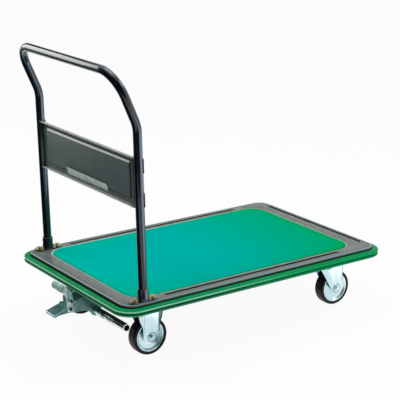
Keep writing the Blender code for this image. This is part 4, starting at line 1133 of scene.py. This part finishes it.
bar_radius = (bar_high.z - bar_low.z) / 2
bore = bar_radius - 0.0035
bar_profile = round_corners(
    [(bar_radius, BAR_HALF), (bar_radius, -BAR_HALF), (bore, -BAR_HALF), (bore, BAR_HALF)],
    [0.0008] * 4,
    3,
)
bar_middle = ((bar_low.x + bar_high.x) / 2, 0, (bar_low.z + bar_high.z) / 2)
work = moved(turned(bar_profile, 64, "Y"), bar_middle)
piece("brake_bar_tube", work, DENTED_ZINC, "brake_lever", ["brake_bar"], 50)

# ---------------------------------------------------------------- floor, light, camera

scene = bpy.context.scene


def studio_floor():
    work = bmesh.new()
    bmesh.ops.create_grid(work, x_segments=1, y_segments=1, size=30)
    mesh = mesh_from("studio_floor", work)
    made = linked("studio_floor", mesh)
    finish = Finish("studio_floor_paint", (0.82, 0.82, 0.82), 0.9)
    glow = finish.make("ShaderNodeEmission", values={"Color": (1, 1, 1, 1), "Strength": 1.0})
    matt = Signal(finish, finish.shader.outputs[0])
    values = {0: finish.seen() * 0.94, 1: matt, 2: glow}
    mixed = finish.make("ShaderNodeMixShader", values=values)
    finish.join(finish.nodes["Material Output"].inputs["Surface"], mixed)
    mesh.materials.append(finish.material)


studio_floor()

world = bpy.data.worlds.new("studio")
scene.world = world
sky = Tree(world)
cool, white = (
    sky.make("ShaderNodeBackground", values={"Color": (*colour, 1.0), "Strength": strength})
    for colour, strength in (((0.93, 0.97, 1.0), 0.40), ((1.0, 1.0, 1.0), 1.0))
)
mixed = sky.make("ShaderNodeMixShader", values={0: sky.seen(), 1: cool, 2: white})
sky.join(sky.nodes["World Output"].inputs["Surface"], mixed)


def soft_light(name, place, aim, width, height, power, colour=(1, 1, 1)):
    data = bpy.data.lights.new(name, "AREA")
    data.shape = "RECTANGLE"
    data.size = width
    data.size_y = height
    data.energy = power
    data.color = colour
    made = linked(name, data)
    made.location = place
    heading = Vector(aim) - Vector(place)
    made.rotation_euler = heading.to_track_quat("-Z", "Y").to_euler()


soft_light("top_softbox", (0.0, 0.2, 3.6), (0.0, 0.0, 0.2), 2.6, 2.0, 44)
soft_light("right_softbox", (2.3, -1.4, 2.9), (0.0, -0.3, 0.2), 1.8, 1.1, 30, (0.90, 0.96, 1.0))
soft_light("back_softbox", (-1.7, 3.4, 1.9), (-0.45, 0.0, 0.95), 2.0, 2.2, 48, (1.0, 0.985, 0.86))


def gloss_card(name, corner, far_corner, colour, strength=1.0):
    """An upright or flat card beside the truck, which only shows in its gloss."""
    low = Vector(corner)
    high = Vector(far_corner)
    flat = low.z == high.z
    side = Vector((0, high.y - low.y, 0)) if flat else Vector((0, 0, high.z - low.z))
    work = bmesh.new()
    row = chain(work, [low, high - side])
    pushed(work, row, side)
    mesh = mesh_from(name, work)
    made = linked(name, mesh)
    made.visible_camera = False
    made.visible_diffuse = False
    made.visible_shadow = False
    made.visible_transmission = False
    finish = Finish(name, (0, 0, 0), 1.0, Specular_IOR_Level=0.0)
    finish.feed("Emission Color", (*colour, 1.0))
    finish.feed("Emission Strength", strength)
    mesh.materials.append(finish.material)


BLACK = (0.012, 0.013, 0.015)
gloss_card("dark_card_left", (-2.6, 2.6, 0), (-2.3, -1.2, 3.2), BLACK)
gloss_card("dark_card_front", (-2.3, -1.2, 0), (0.0, -2.6, 3.2), BLACK)
gloss_card("dark_card_back", (-0.5, 3.5, 0), (0.9, 3.2, 3.4), BLACK)
gloss_card("dark_floor_left", (-3.0, -0.9, 0.002), (-0.72, 3.4, 0.002), BLACK)
# Painted shadow: dark cards on the floor under and beyond the deck, seen only in gloss, stand for
# the deck's shadow.
SHADE = (0.05, 0.11, 0.11)
gloss_card("dark_under_deck", (-0.28, -0.36, 0.0015), (0.25, 0.32, 0.0015), SHADE)
gloss_card("dark_beyond_deck", (0.25, -0.05, 0.0015), (0.62, 0.32, 0.0015), SHADE)
gloss_card("pale_floor_right", (0.1, -3.2, 0.002), (2.8, -0.95, 0.002), (0.74, 0.92, 1.0), 3.6)

CAMERA_PLACE = (DECK_MID - 2.4374, -3.5058, 1.6844)
CAMERA_AHEAD = (0.54533, 0.78739, -0.28745)
CAMERA_UP = (0.16644, 0.23439, 0.95779)
camera_data = bpy.data.cameras.new("camera")
camera_data.sensor_width = 36
camera_data.lens = 115.76
camera_data.clip_end = 60
camera = linked("camera", camera_data)
forward = Vector(CAMERA_AHEAD).normalized()
up = Vector(CAMERA_UP).normalized()
right = forward.cross(up).normalized()
basis = Matrix((right, right.cross(forward), -forward)).transposed()
camera.matrix_world = Matrix.Translation(CAMERA_PLACE) @ basis.to_4x4()
scene.camera = camera
scene.view_settings.view_transform = "Standard"
